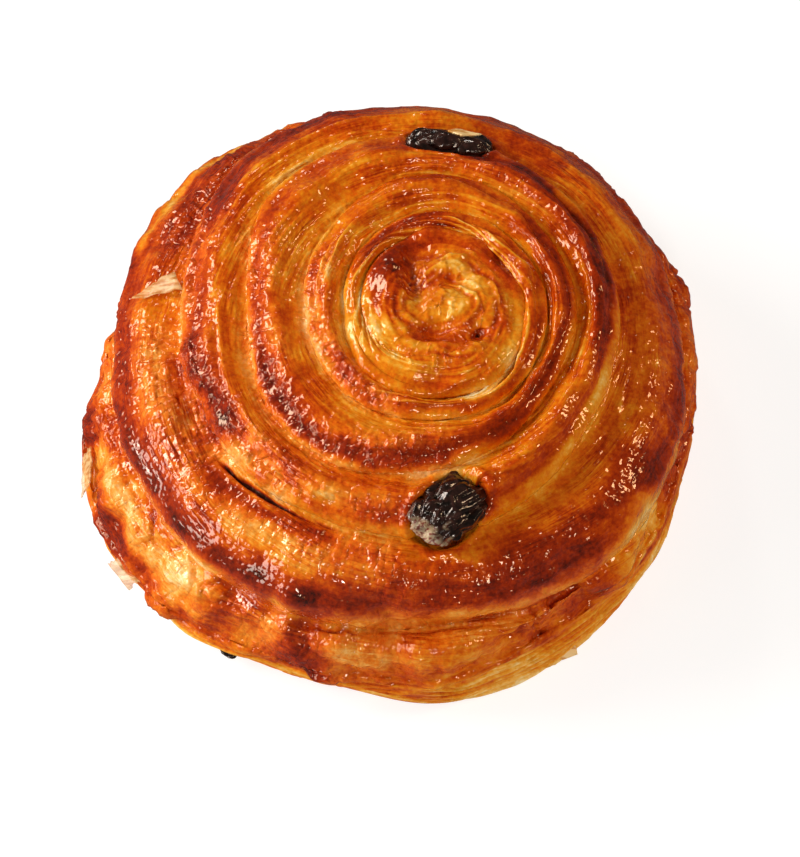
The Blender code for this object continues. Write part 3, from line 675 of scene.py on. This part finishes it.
# The crust sinks under each raisin and stands up a little round it
def raisinDip(at):
    dip, rim = np.zeros_like(at["flatRadius"]), np.zeros_like(at["flatRadius"])
    for spec in raisins.values():
        if spec["socket"] is None:
            continue
        angle = math.radians(spec["angles"][2])
        right = at["grid"][..., 0] - spec["centre"][0]
        back = at["grid"][..., 1] - spec["centre"][1]
        along = right * math.cos(angle) + back * math.sin(angle)
        across = back * math.cos(angle) - right * math.sin(angle) - spec["lean"] * along
        out = boxed(along / spec["half"][0], across / spec["half"][1])
        dip = np.maximum(dip, (1 - fade(spec["socket"] - 0.2, spec["socket"], out)) * at["onTop"])
        rim = np.maximum(rim, hump(out - spec["socket"] - 0.1, 0.12) * at["onTop"])
    return dip, rim


# Glaze wrinkled across the roll, over a coarser net of folds
def wrinklesOf(at):
    grid, rolled = at["grid"], at["rolled"]
    bend = np.stack([rough(rolled, (5, 3, 40), 101 + k) for k in range(3)], axis=-1)
    across = ridges(rolled + 1.3 * bend, (1.5, 3.4, 40), 104, 2.2)
    netted = ridges(grid + 0.8 * bend, 2.3, 105, 2.6)
    crumple = np.maximum(across * np.clip(0.2 + grainAt("wrinkleShow", at), 0, 1), netted)
    first, second = nearest(rolled + bend, (5.5, 2.1, 40), 21)[:2]
    folds = np.clip((second - first) / 0.6, 0, 1)
    first, second = nearest(grid + bend, crust["bulge"], 63)[:2]
    crease = hump(second - first, 0.1) * at["onTop"] * fade(5.95, 6.2, at["turns"])
    return crumple, folds, crease * np.clip(0.6 + grainAt("creaseShow", at), 0, 1)


# Fine lines that follow the folds of the knob, 0.5 where there are none
def knobArcs(at):
    raised = ovals(swirl["knobFolds"], at["grid"][..., 0], at["grid"][..., 1])
    lines = (at["flatRadius"] - 1.2 * raised + grainAt("arcDrift", at)) / crust["arcWidth"]
    angle = np.broadcast_to(at["angle"], lines.shape)
    lines = rough(np.stack([lines, 1.6 * np.cos(angle), 1.6 * np.sin(angle)], axis=-1), (1, 1, 1), 99)
    return 0.5 + np.clip(lines, -0.5, 0.5) * fade(1.5, 5.0, at["flatRadius"])


# How brown each point is: 0 is raw dough, 1 burnt, with painted shade added in grooves, cracks, skirt creases,
# round the raisins and between the side's leaves
def bakeAndShadeOf(at, forms):
    turns, place, grid = at["turns"], at["place"], at["grid"]
    amount, rise, edge = forms["layers"]
    groove, middle, crest, width = (smoothCurve(crust["bake"], turns, c) for c in (1, 2, 3, 4))
    mean, change, widest = crust["valley"]
    valley = mean + change * np.cos(at["angle"] - math.radians(widest)) + grainAt("valleyEdge", at)
    pale = np.where(place > 1, fade(1.0, 1.7, place), hump(at["fromGroove"], valley))
    bake = middle + (groove - middle) * pale
    width = width * np.where(at["fromCrest"] > 0, 0.7, 1.0)      # narrower on the outer face
    away = at["fromCrest"] + grainAt("crestEdge", at)
    bake += (crest - bake + grainAt("crestBake", at)) * hump(away, width)
    # Painted shade: a thin dark line down in each groove, at the foot of the outer face
    creviceShade = hump(place - 1.95, 0.06) * np.clip(0.4 + grainAt("creviceShadeShow", at), 0, 1)
    bake += tones["creviceShade"] * creviceShade * fade(1.0, 1.5, turns)
    bake += (crust["knobBake"] - bake) * at["onKnob"]
    sideTop = 1 - fade(3.02, 3.16, place + grainAt("sideTopEdge", at))
    side = crust["sideBake"] + (crust["sideTopBake"] - crust["sideBake"]) * sideTop
    bake = np.where(at["onSide"], side, bake)
    bake = np.where(place >= 4, crust["baseBake"], bake)
    bake += ovals(crust["spots"], grid[..., 0], grid[..., 1]) * at["onTop"]
    bake += patchesAt("browner", at) - patchesAt("paler", at)
    bake += grainAt("broadBake", at) + grainAt("fineBake", at) + grainAt("bandBake", at)
    bake += grainAt("streakBake", at) * at["onTop"]
    nearKnob = 1 - 0.6 * at["outward"]
    bake += amount * edge * (tones["layerEdge"] - tones["layerPale"] * nearKnob)
    bake += amount * tones["layerRise"] * (0.45 - rise) * nearKnob
    # The crumple term browns the raised wrinkles; the crease tone is painted shade in the creases between the
    # skirt's bulges
    bake += tones["crumple"] * forms["crinkle"] * (forms["crumple"] - 0.3) + tones["crease"] * forms["crease"]
    # The raisin rim tone is painted shade on the crust round each raisin
    bake += tones["raisinRim"] * forms["rim"] + tones["arcs"] * at["onKnob"] * (0.5 - forms["arcs"])
    dark = crust["darkFrom"]
    bake = np.where(bake > dark, dark + crust["darkShare"] * (bake - dark), bake)
    # The slit tone is painted shade: the deep middles of the cracks are darkened
    bake += tones["overall"] + tones["slit"] * np.clip(forms["slit"] - 0.7, 0, 1)
    # Painted shade: the side is darker in the sunken gaps between its leaves
    leaves = tones["sideLeaf"] * (0.5 - forms["leafRise"])
    return bake + (leaves + grainAt("sideStreaks", at) + grainAt("sideBake", at)) * at["onSide"]


# Relief of the top along the surface normal, in millimetres
def reliefOf(at, forms):
    grid, turns, place, onTop, onKnob = at["grid"], at["turns"], at["place"], at["onTop"], at["onKnob"]
    amount, rise = forms["layers"][:2]
    crinkle, crumple = forms["crinkle"], forms["crumple"]
    bandTop = onTop * fade(0.0, 0.12, place) * (1 - fade(1.75, 2.0, place)) * (1 - onKnob)   # clear of grooves
    crestNear = hump(place - 1.0, 0.35) * onTop * fade(0.8, 1.8, turns)

    relief = grainAt("swells", at) + grainAt("dimples", at)
    relief += bandTop * grainAt("strands", at) + heights["layers"] * amount * (rise - 0.5)
    relief += crestNear * (grainAt("crestSwells", at) + grainAt("crestBumps", at))
    wrinkled = heights["crumple"] * crumple + heights["folds"] * forms["folds"] - heights["sunkGlaze"]
    relief += crinkle * wrinkled
    relief += bandTop * (1 - crinkle) * heights["calmCrumple"] * (crumple - 0.3)
    knobRidges = heights["knobRidges"] * (ridges(grid, 3.0, 94, 2.4) - 0.4)
    relief += onKnob * (grainAt("knobSwells", at) + knobRidges + heights["knobCrumple"] * crumple)
    blister = crust["blister"]
    bubble, _, size = nearest(grid, blister["spacing"], 31)
    dome = np.sqrt(np.clip(1 - (bubble / (blister["least"] + blister["spread"] * size)) ** 2, 0, 1))
    relief += heights["blister"] * dome * (size > blister["rarity"]) * onTop * (0.15 + 0.85 * crinkle)
    relief *= 1 - 0.6 * forms["glazed"]
    skirt = onTop * fade(5.9, 6.2, turns)
    relief += skirt * (grainAt("skirtSwells", at) + grainAt("skirtBumps", at))
    relief += patchesAt("fills", at) - forms["slit"] - heights["crease"] * forms["crease"]
    relief += heights["slitLips"] * patchesAt("slitLips", at, 0.4, True)
    relief += heights["edgeBumps"] * patchesAt("edgeBumps", at, 0.5)
    relief += heights["arcs"] * onKnob * (forms["arcs"] - 0.5)
    shift = 0.6 * at["wobble"]
    return relief + ovals(crust["creases"], grid[..., 0] + shift, grid[..., 1] + shift)


# Thin leaves seen edge on round the side, standing out unevenly
def sideRelief(at):
    stack = at["grid"][..., 2] / crust["leafHeight"] + grainAt("leafDrift", at) + grainAt("leafWaver", at)
    rise = sawtooth(stack % 1.0, 0.75)
    relief = (heights["sideLeaf"] + grainAt("leafDepth", at)) * (rise - 0.5) + grainAt("sideSwells", at)
    window = fade(3.0, 3.12, at["place"]) * (1 - fade(3.9, 4.0, at["place"]))     # clear of rim and base
    return relief * window * at["onSide"], rise


def shapeCrust(material):
    at = buildSwirl()
    at["wobble"] = grainAt("wobble", at)
    points, place = at["points"], at["place"]
    sides, leafRise = sideRelief(at)
    dip, rim = raisinDip(at)
    glazed = np.clip(patchesAt("glazed", at), 0, 1)
    crinkle = np.clip(patchesAt("crinkled", at), 0, 1) * (1 - 0.7 * glazed)
    crumple, folds, crease = wrinklesOf(at)
    forms = {
        "layers": openLayers(at), "slit": patchesAt("slits", at, 0.5, True), "arcs": knobArcs(at), "rim": rim,
        "crinkle": crinkle, "crumple": crumple, "folds": folds, "crease": crease, "glazed": glazed,
        "leafRise": leafRise,
    }
    relief = reliefOf(at, forms) * at["onTop"] + sides
    relief *= fade(0.0, 1.2, at["grid"][..., 2]) * np.where(place < 3, fade(0.0, 0.3, at["turns"]), 1.0)
    relief += heights["raisinRim"] * rim - heights["raisinSocket"] * dip
    bake = bakeAndShadeOf(at, forms)
    points[: place.size] += vertexNormals(points, at["faces"])[: place.size] * relief.reshape(-1, 1)
    points += np.array([*swirl["knobAt"], 0])
    low, high = np.array(cadBox) / mm
    points[:] = np.clip(points, low, high)      # within the solid's box

    streaked = np.clip(1.2 - 1.3 * np.abs(place - 0.3) + patchesAt("combed", at), 0, 1.2) * (1 - at["onKnob"])
    sideWet = 0.1 + 0.25 * (1 - fade(3.05, 3.2, place))
    wet = np.where(at["onSide"], sideWet, 1 - np.clip(1.5 * forms["slit"], 0, 1))
    # bake carries the browning together with its painted shade
    fields = {
        "bake": bake, "crinkle": crinkle, "layers": np.where(at["onSide"], 1.0, streaked),
        "wet": np.where(place >= 4, 0.1, wet), "pooled": glazed,
    }
    fields = {name: np.concatenate([values.ravel(), [0.4, 0.4]]) for name, values in fields.items()}

    # Three pieces, cut along grooves
    normals = vertexNormals(points, at["faces"])
    lap = swirl["riseRows"] + swirl["faceRows"]
    cuts = {"crustInner": (0, 3 * lap), "crustOuter": (3 * lap, 6 * lap), "crustSkirt": (6 * lap, len(place))}
    return [cutPiece(name, rows, at, normals, fields, material) for name, rows in cuts.items()]


def linear(hexColour):
    values = [int(hexColour[i: i + 2], 16) / 255 for i in (1, 3, 5)]
    return tuple(v / 12.92 if v <= 0.04045 else ((v + 0.055) / 1.055) ** 2.4 for v in values) + (1.0,)


# Adds a node to a tree with its settings, input values and links by name
def addNode(tree, kind, settings=None, values=None, links=None):
    node = tree.nodes.new(kind)
    for key, value in (settings or {}).items():
        setattr(node, key, value)
    for key, value in (values or {}).items():
        node.inputs[key].default_value = value
    for key, source in (links or {}).items():
        tree.links.new(source, node.inputs[key])
    return node


def rampStops(node, stops):
    elements = node.color_ramp.elements
    while len(elements) > 1:
        elements.remove(elements[-1])
    elements[0].position, elements[0].color = stops[0][0], linear(stops[0][1])
    for position, colour in stops[1:]:
        elements.new(position).color = linear(colour)


def newMaterial(name):
    made = bpy.data.materials.new(name)
    made.use_nodes = True
    return made, made.node_tree, made.node_tree.nodes["Principled BSDF"]


crustLook = {
    "stops": ((0.0, "#f6dca4"), (0.12, "#eeb85c"), (0.25, "#e49626"), (0.36, "#dc7c10"),
              (0.48, "#d05e08"), (0.60, "#b63e04"), (0.72, "#982804"), (0.84, "#701a06"), (0.96, "#3c1008")),
    "peach": ((0.0, "#f8dab0"), (0.12, "#f6c078"), (0.25, "#f09e48"), (0.36, "#e67c24"),
              (0.48, "#d65e14"), (0.60, "#ba400c"), (0.72, "#96280c"), (0.84, "#6e1a0e"), (0.96, "#3a100e")),
    "reflection": "#ffc080",     # the amber glaze warms what it reflects
    "streaks": ((9.0, 0.8, 3.0, 0.46), (6.3, 0.28, 2.0, 0.52)),   # mm along and across, detail, strength
    "patch": 7.0,                # mm, how far the streaks come and go
    "mottles": ((2.2, 4.0, 0.36), (0.8, 3.0, 0.40)),              # mm, detail, strength
    "wrinkle": (1.3, 2.6),       # mm, width and length of the slanted wrinkles of its crests
    "wrinkleSlant": 0.6,         # radians
    "wrinkleDrift": 2.0,         # mm from one bend of a wrinkle to the next
    "wrinkleBend": 2.4,          # mm of bend
    "comb": (5.0, 0.9),          # mm, length and width of the fine lines of the open layers
    "skin": 0.9,                 # mm, the fine unevenness of the glaze
    "depths": (-0.44, 0.42, 0.18),   # mm, how deep wrinkles, combed lines and skin look
    "dry": {"Roughness": 0.6, "Specular IOR Level": 0.2, "Coat Weight": 0.0},
    "shiny": {"Roughness": 0.16, "Specular IOR Level": 0.5, "Coat Weight": 0.32},
    "pooledCoat": 0.7,           # how much more coat pooled glaze has
    "coatRoughness": 0.05,
}


# Puff pastry brushed with egg and apricot glaze and baked hard: glassy brown crests over layered gold
def glazedCrust():
    made, tree, shader = newMaterial("glazedCrust")
    fields = {}
    for name in ("bake", "crinkle", "layers", "wet", "pooled"):
        fields[name] = addNode(tree, "ShaderNodeAttribute", {"attribute_name": name}).outputs["Fac"]
    roll = addNode(tree, "ShaderNodeUVMap", {"uv_map": "alongRoll"}).outputs["UV"]
    place = addNode(tree, "ShaderNodeTexCoord").outputs["Object"]

    # Streaks along the roll that come and go, mottling and specks, each added about its middle
    patch = addNode(tree, "ShaderNodeTexNoise", None, {"Scale": 1 / (crustLook["patch"] * mm), "Detail": 1.0},
                    {"Vector": place})
    comes = addNode(tree, "ShaderNodeMapRange", None, {"From Min": 0.38, "From Max": 0.62, "To Min": 0.15},
                    {"Value": patch.outputs["Fac"]})
    lines = addNode(tree, "ShaderNodeMath", {"operation": "MULTIPLY"}, None,
                    {0: fields["layers"], 1: comes.outputs["Result"]}).outputs[0]
    shades = []
    for long, wide, detail, strength in crustLook["streaks"]:
        mapped = addNode(tree, "ShaderNodeMapping", None, {"Scale": (1 / long, 1 / wide, 1.0)},
                         {"Vector": roll})
        streak = addNode(tree, "ShaderNodeTexNoise", None,
                         {"Scale": 1.0, "Detail": detail, "Roughness": 0.6, "Distortion": 0.8},
                         {"Vector": mapped.outputs["Vector"]})
        shades.append((streak, strength, lines))
    for size, detail, strength in crustLook["mottles"]:
        mottle = addNode(tree, "ShaderNodeTexNoise", None,
                         {"Scale": 1 / (size * mm), "Detail": detail, "Roughness": 0.65}, {"Vector": place})
        shades.append((mottle, strength, None))
    # bake brings the browning and its painted shade; the streaks and mottles add the crust's own uneven tone
    brown = fields["bake"]
    for shade, strength, where in shades:
        part = addNode(tree, "ShaderNodeMath", {"operation": "MULTIPLY_ADD"}, {1: strength, 2: -strength / 2},
                       {0: shade.outputs["Fac"]}).outputs[0]
        if where is not None:
            part = addNode(tree, "ShaderNodeMath", {"operation": "MULTIPLY"}, None,
                           {0: part, 1: where}).outputs[0]
        brown = addNode(tree, "ShaderNodeMath", {"operation": "ADD", "use_clamp": True}, None,
                        {0: brown, 1: part}).outputs[0]
    colours = []
    for stops in ("stops", "peach"):
        colours.append(addNode(tree, "ShaderNodeValToRGB", None, None, {"Fac": brown}))
        rampStops(colours[-1], crustLook[stops])
    colour = addNode(tree, "ShaderNodeMix", {"data_type": "RGBA"}, None,
                     {0: fields["crinkle"], 6: colours[0].outputs["Color"], 7: colours[1].outputs["Color"]})
    tree.links.new(colour.outputs[2], shader.inputs["Base Color"])

    # Wrinkled glaze on the crests, layer edges elsewhere
    drift = addNode(tree, "ShaderNodeTexNoise", None,
                    {"Scale": 1 / (crustLook["wrinkleDrift"] * mm), "Detail": 1.0}, {"Vector": place})
    bend = crustLook["wrinkleBend"]
    bent = addNode(tree, "ShaderNodeVectorMath", {"operation": "MULTIPLY_ADD"}, {1: (bend, bend, 0.0)},
                   {0: drift.outputs["Color"], 2: roll})
    width, length = crustLook["wrinkle"]
    turned = (0.0, 0.0, crustLook["wrinkleSlant"])
    slanted = addNode(tree, "ShaderNodeMapping", None,
                      {"Rotation": turned, "Scale": (1 / width, 1 / length, 1.0)},
                      {"Vector": bent.outputs["Vector"]})
    cells = addNode(tree, "ShaderNodeTexVoronoi", {"feature": "F1"}, {"Scale": 1.0},
                    {"Vector": slanted.outputs["Vector"]})
    dome = addNode(tree, "ShaderNodeMath", {"operation": "POWER"}, {1: 2.0}, {0: cells.outputs["Distance"]})
    wrinkle = addNode(tree, "ShaderNodeMath", {"operation": "MULTIPLY"}, None,
                      {0: dome.outputs[0], 1: fields["crinkle"]}).outputs[0]
    length, width = crustLook["comb"]
    combed = addNode(tree, "ShaderNodeMapping", None, {"Scale": (1 / length, 1 / width, 1.0)},
                     {"Vector": roll})
    comb = addNode(tree, "ShaderNodeTexNoise", None, {"Scale": 1.0, "Detail": 0.0, "Distortion": 0.5},
                   {"Vector": combed.outputs["Vector"]}).outputs["Fac"]
    comb = addNode(tree, "ShaderNodeMath", {"operation": "MULTIPLY"}, None, {0: comb, 1: lines}).outputs[0]
    skin = addNode(tree, "ShaderNodeTexNoise", None, {"Scale": 1 / (crustLook["skin"] * mm), "Detail": 0.0},
                   {"Vector": place}).outputs["Fac"]
    normal = None
    for height, depth in zip((wrinkle, comb, skin), crustLook["depths"]):
        bump = addNode(tree, "ShaderNodeBump", {"invert": depth < 0}, {"Distance": abs(depth) * mm},
                       {"Height": height})
        if normal is not None:
            tree.links.new(normal, bump.inputs["Normal"])
        normal = bump.outputs["Normal"]
    tree.links.new(normal, shader.inputs["Normal"])
    tree.links.new(normal, shader.inputs["Coat Normal"])
    for socket, shiny in crustLook["shiny"].items():
        dry = crustLook["dry"][socket]
        gloss = addNode(tree, "ShaderNodeMapRange", None, {"To Min": dry, "To Max": shiny},
                        {"Value": fields["wet"]}).outputs["Result"]
        if socket == "Coat Weight":
            gloss = addNode(tree, "ShaderNodeMath", {"operation": "MULTIPLY_ADD", "use_clamp": True},
                            {1: crustLook["pooledCoat"]}, {0: fields["pooled"], 2: gloss}).outputs[0]
        tree.links.new(gloss, shader.inputs[socket])
    shader.inputs["Specular Tint"].default_value = linear(crustLook["reflection"])
    shader.inputs["Coat Roughness"].default_value = crustLook["coatRoughness"]
    return made


flakeLook = {
    "colour": "#f4d090", "dark": "#cf8a38", "clear": 0.5, "roughness": 0.4,
    "grain": (3.0, 0.7, 1.5), "depth": 0.2,     # mm
}


# A leaf of pastry lifted off and dried in the oven: thin, pale, lets some light through
def dryFlake(name, clear):
    made, tree, shader = newMaterial(name)
    place = addNode(tree, "ShaderNodeTexCoord").outputs["Object"]
    scale = [1 / (size * mm) for size in flakeLook["grain"]]
    drawn = addNode(tree, "ShaderNodeMapping", None, {"Scale": scale}, {"Vector": place})
    fibres = addNode(tree, "ShaderNodeTexNoise", None, {"Scale": 1.0, "Detail": 2.0},
                     {"Vector": drawn.outputs["Vector"]})
    colour = addNode(tree, "ShaderNodeValToRGB", None, None, {"Fac": fibres.outputs["Fac"]})
    rampStops(colour, ((0.40, flakeLook["dark"]), (0.58, flakeLook["colour"])))
    tree.links.new(colour.outputs["Color"], shader.inputs["Base Color"])
    bump = addNode(tree, "ShaderNodeBump", None, {"Distance": flakeLook["depth"] * mm},
                   {"Height": fibres.outputs["Fac"]})
    tree.links.new(bump.outputs["Normal"], shader.inputs["Normal"])
    shader.inputs["Roughness"].default_value = flakeLook["roughness"]
    shader.inputs["Alpha"].default_value = 1 - clear
    return made


raisinLook = {
    "dark": "#080403", "light": "#3c221c", "sugar": "#b59a78", "red": "#7a2a1e", "reflection": "#ffe6d0",
    "fold": 1.6, "foldDepth": 0.25, "crumb": 0.6,     # mm
    "roughness": (0.16, 0.6),                         # wet skin, sugar
    "coat": 0.3, "coatRoughness": 0.08,
}


# Raisin baked in the glaze: near-black skin in tight folds, wet highlights on the fold tops
def raisinSkin():
    made, tree, shader = newMaterial("raisinSkin")
    place = addNode(tree, "ShaderNodeTexCoord").outputs["Object"]
    sugar = addNode(tree, "ShaderNodeAttribute", {"attribute_name": "sugar"}).outputs["Fac"]
    folds = addNode(tree, "ShaderNodeTexNoise", None,
                    {"Scale": 1 / (raisinLook["fold"] * mm), "Detail": 2.0, "Distortion": 0.8},
                    {"Vector": place})
    colour = addNode(tree, "ShaderNodeValToRGB", None, None, {"Fac": folds.outputs["Fac"]})
    rampStops(colour, ((0.35, raisinLook["dark"]), (0.72, raisinLook["light"])))
    grains = addNode(tree, "ShaderNodeTexNoise", None,
                     {"Scale": 1 / (raisinLook["crumb"] * mm), "Detail": 1.0}, {"Vector": place})
    crumbs = addNode(tree, "ShaderNodeValToRGB", None, None, {"Fac": grains.outputs["Fac"]})
    rampStops(crumbs, ((0.38, raisinLook["red"]), (0.5, raisinLook["sugar"])))
    mixed = addNode(tree, "ShaderNodeMix", {"data_type": "RGBA"}, None,
                    {0: sugar, 6: colour.outputs["Color"], 7: crumbs.outputs["Color"]})
    tree.links.new(mixed.outputs[2], shader.inputs["Base Color"])
    bump = addNode(tree, "ShaderNodeBump", None, {"Distance": raisinLook["foldDepth"] * mm},
                   {"Height": folds.outputs["Fac"]})
    tree.links.new(bump.outputs["Normal"], shader.inputs["Normal"])
    wet, dusted = raisinLook["roughness"]
    dull = addNode(tree, "ShaderNodeMapRange", None, {"To Min": wet, "To Max": dusted}, {"Value": sugar})
    tree.links.new(dull.outputs["Result"], shader.inputs["Roughness"])
    shader.inputs["Specular Tint"].default_value = linear(raisinLook["reflection"])
    shader.inputs["Coat Weight"].default_value = raisinLook["coat"]
    shader.inputs["Coat Roughness"].default_value = raisinLook["coatRoughness"]
    return made


# How far a point of the skin stands out between the folds, from 0 in a fold to 1
def skinFolds(point, kind, shift):
    long, wide, sharpness = raisinForm[kind]
    spread = Vector((point.x / long, point.y / wide, point.z / wide))
    return min(sharpness * abs(noise.noise(spread + Vector(shift))), 1.0)


def shapeRaisin(name, material):
    spec = raisins[name]
    half = spec["half"]
    small = half[0] / raisins["raisin_front"]["half"][0]
    mesh = bmesh.new()
    bmesh.ops.create_icosphere(mesh, subdivisions=spec["detail"], radius=1.0)
    turn = Euler([math.radians(a) for a in spec["angles"]]).to_matrix()
    centre, knob = Vector(spec["centre"]), Vector((*swirl["knobAt"], 0))
    sugar = []
    for vert in mesh.verts:
        unit = vert.co.normalized()
        boxy = math.hypot(unit.x, unit.y) / max(boxed(unit.x, unit.y), 1e-6)
        point = Vector((unit.x * half[0] * boxy, unit.y * half[1] * boxy, unit.z * half[2]))
        broad = skinFolds(point / small, "broad", centre) - raisinForm["broadMiddle"]
        fine = skinFolds(point / small, "fine", raisinForm["fineShift"]) - raisinForm["fineMiddle"]
        outward = Vector([c / h for c, h in zip(unit, half)]).normalized()
        ragged = raisinForm["sugarRagged"] * noise.noise(point / raisinForm["sugarPatch"])
        crumbs = spec["sugar"] * max(0.0, ragged - unit.x - raisinForm["sugarFrom"]) * raisinForm["sugarEdge"]
        crumbs = min(crumbs, 1.0) * (unit.z > -0.2)
        depth = spec["fold"] * broad + raisinForm["fineDepth"] * small * fine
        depth += raisinForm["sugarDepth"] * crumbs * noise.noise(point / raisinForm["sugarGrain"])
        point += outward * depth
        point.y += spec["lean"] * point.x
        vert.co = (turn @ point + centre + knob) * mm
        sugar.append(crumbs)
    data = bpy.data.meshes.new(name + "Skin")
    mesh.to_mesh(data)
    mesh.free()
    data.attributes.new("sugar", "FLOAT", "POINT").data.foreach_set("value", sugar)
    return finishPiece(name + "Skin", data, material)


# Loose leaves of crust: corner points from the knob's middle in mm, the waves of the leaf, thickness
flakes = {
    "leafOverGroove": (
        ((-53.8, 9.2, 28.4), (-53.6, 9.6, 28.6), (-46.2, 13.4, 31), (-44.6, 9.4, 31.8)), 0.8, 0.12,
    ),
    "upperShard": (
        ((-18.4, -49.4, 15.2), (-18.2, -48.7, 15.4), (-12.6, -49, 16.4), (-12.4, -49.9, 16.2)), 0.3, 0.3,
    ),
    "lowerShard": (
        ((-17, -51.4, 13.4), (-16.7, -50.8, 13.8), (-13.4, -49.6, 15.4), (-13.2, -50.4, 15)), 0.3, 0.3,
    ),
    "footFlap": (
        ((21.2, -45, 3.4), (24, -44.1, 3.6), (25, -47.6, 1.6), (22.2, -48.6, 1.4)), 0.4, 0.4,
    ),
    "leftLeaf": (
        ((-61.6, -11, 10), (-61.4, -18.4, 10.4), (-63.4, -19.2, 5.4), (-63.5, -11.6, 5.8)), 0.3, 0.3,
    ),
    "lowerLeftLeaf": (
        ((-54.4, -29, 6.4), (-50.6, -33.6, 6.2), (-54.6, -36.4, 4), (-58.2, -31.6, 4.2)), 0.5, 0.3,
    ),
    "chipOnRaisin": (
        ((2, 36.3, 40.5), (4.3, 37.1, 39.6), (8, 36, 39.3), (4.4, 35.3, 40.2)), 0.4, 0.4,
    ),
}
flakeForm = {"cells": 14, "ragged": 0.12, "wave": 2.2}     # faces each way, torn ends, mm of a wave


def shapeFlake(name, material):
    corners, waves, thickness = flakes[name]
    a, b, c, d = (Vector(corner) for corner in corners)
    cells = flakeForm["cells"]
    middle = (a + b + c + d) / 4
    flatUp = (c - a).cross(d - b).normalized()
    up = flatUp if flatUp.z > 0 else -flatUp
    points, faces = [], []
    for side in (0, 1):
        for i in range(cells + 1):
            for j in range(cells + 1):
                u, v = i / cells, j / cells
                ragged = flakeForm["ragged"] * noise.noise(Vector((i * 0.9, 4 * round(v), middle.x)))
                edge = abs(2 * v - 1) ** 4
                point = a.lerp(d, u).lerp(b.lerp(c, u), v + ragged * edge)
                wave = waves * noise.noise(Vector((point.x, point.y, middle.y)) / flakeForm["wave"])
                points.append(point + up * (wave + side * thickness))
    step = (cells + 1) ** 2
    for i in range(cells):
        for j in range(cells):
            k = i * (cells + 1) + j
            quad = (k, k + 1, k + cells + 2, k + cells + 1)
            faces += [quad[::-1], tuple(step + corner for corner in quad)]
    near = list(range(cells + 1))
    right = [i * (cells + 1) + cells for i in range(1, cells + 1)]
    far = [cells * (cells + 1) + j for j in range(cells - 1, -1, -1)]
    left = [i * (cells + 1) for i in range(cells - 1, 0, -1)]
    rim = near + right + far + left
    faces += [(p, q, step + q, step + p) for p, q in zip(rim, rim[1:] + rim[:1])]
    data = bpy.data.meshes.new(name)
    data.from_pydata([(point + Vector((*swirl["knobAt"], 0))) * mm for point in points], [], faces)
    return finishPiece(name, data, material)


crustMaterial, raisinMaterial = glazedCrust(), raisinSkin()
flakeMaterial, crumbMaterial = dryFlake("dryFlake", flakeLook["clear"]), dryFlake("dryCrumb", 0.0)
for piece in shapeCrust(crustMaterial):
    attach(piece, "root")
    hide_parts("pastry")
    print(piece.name, len(piece.data.polygons), "faces")
for name in flakes:
    piece = shapeFlake(name, crumbMaterial if name in ("chipOnRaisin", "footFlap") else flakeMaterial)
    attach(piece, "root")
print("flakes done")
for name in raisins:
    piece = shapeRaisin(name, raisinMaterial)
    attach(piece, "root")
    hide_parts(name)
print("raisins done")

studio = {
    "floorColour": "#a8a8a8",
    "floorSize": 4.0,
    "floorGlow": 0.72,
    "roomLight": 0.08,
    "lights": {    # place in metres, width and height of the panel, watts, colour
        "windowLeft": ((-0.64, 0.18, 0.42), (0.44, 0.26), 5.9, "#ffffff"),
        "panelLeft": ((-0.62, -0.22, 0.20), (0.44, 0.24), 2.0, "#ffffff"),
        "lampBack": ((-0.22, 0.60, 0.50), (0.10, 0.10), 0.5, "#ffffff"),
        "lampFront": ((0.10, -0.62, 0.62), (0.16, 0.16), 2.2, "#ffffff"),
        "lampRight": ((0.62, 0.05, 0.48), (0.16, 0.16), 1.9, "#ffe6c4"),
    },
    "elevation": 65.0,
    "distance": 0.5,
    "lens": 117.6,
    "sensor": 36.0,
    "aimOffset": (-8.5, -6.6, 15.0),   # from the knob's middle to the point looked at, mm
    "shift": (0.0140, -0.0193),
}


def buildStudio():
    scene = bpy.context.scene
    bpy.ops.mesh.primitive_plane_add(size=studio["floorSize"], location=(0, 0, 0))
    floor = bpy.context.object
    floor.name = "floor"
    made, tree, shader = newMaterial("paperSweep")
    shader.inputs["Base Color"].default_value = linear(studio["floorColour"])
    shader.inputs["Roughness"].default_value = 0.8
    shader.inputs["Specular IOR Level"].default_value = 0.1
    shader.inputs["Emission Color"].default_value = (1, 1, 1, 1)
    shader.inputs["Emission Strength"].default_value = studio["floorGlow"]
    floor.data.materials.append(made)
    floor.visible_glossy = False     # the white floor would veil the glaze of the side
    world = bpy.data.worlds.new("softRoom")
    world.use_nodes = True
    room = world.node_tree.nodes["Background"]
    room.inputs["Color"].default_value = (1, 1, 1, 1)
    room.inputs["Strength"].default_value = studio["roomLight"]
    scene.world = world
    for name, (at, size, power, tint) in studio["lights"].items():
        light = bpy.data.lights.new(name, "AREA")
        light.color = linear(tint)[:3]
        light.shape = "RECTANGLE"
        light.size, light.size_y = size
        light.energy = power
        lamp = bpy.data.objects.new(name, light)
        lamp.location = at
        lamp.rotation_euler = Vector(at).to_track_quat("Z", "Y").to_euler()
        scene.collection.objects.link(lamp)
    elevation = math.radians(studio["elevation"])
    back = Vector((0, -math.cos(elevation), math.sin(elevation)))
    aim = (Vector((*swirl["knobAt"], 0)) + Vector(studio["aimOffset"])) * mm
    camera = bpy.data.cameras.new("camera")
    camera.lens, camera.sensor_width = studio["lens"], studio["sensor"]
    camera.shift_x, camera.shift_y = studio["shift"]
    holder = bpy.data.objects.new("camera", camera)
    holder.location = aim + back * studio["distance"]
    holder.rotation_euler = back.to_track_quat("Z", "Y").to_euler()
    scene.collection.objects.link(holder)
    scene.camera = holder
    scene.view_settings.view_transform = "Standard"


buildStudio()
print("studio done")
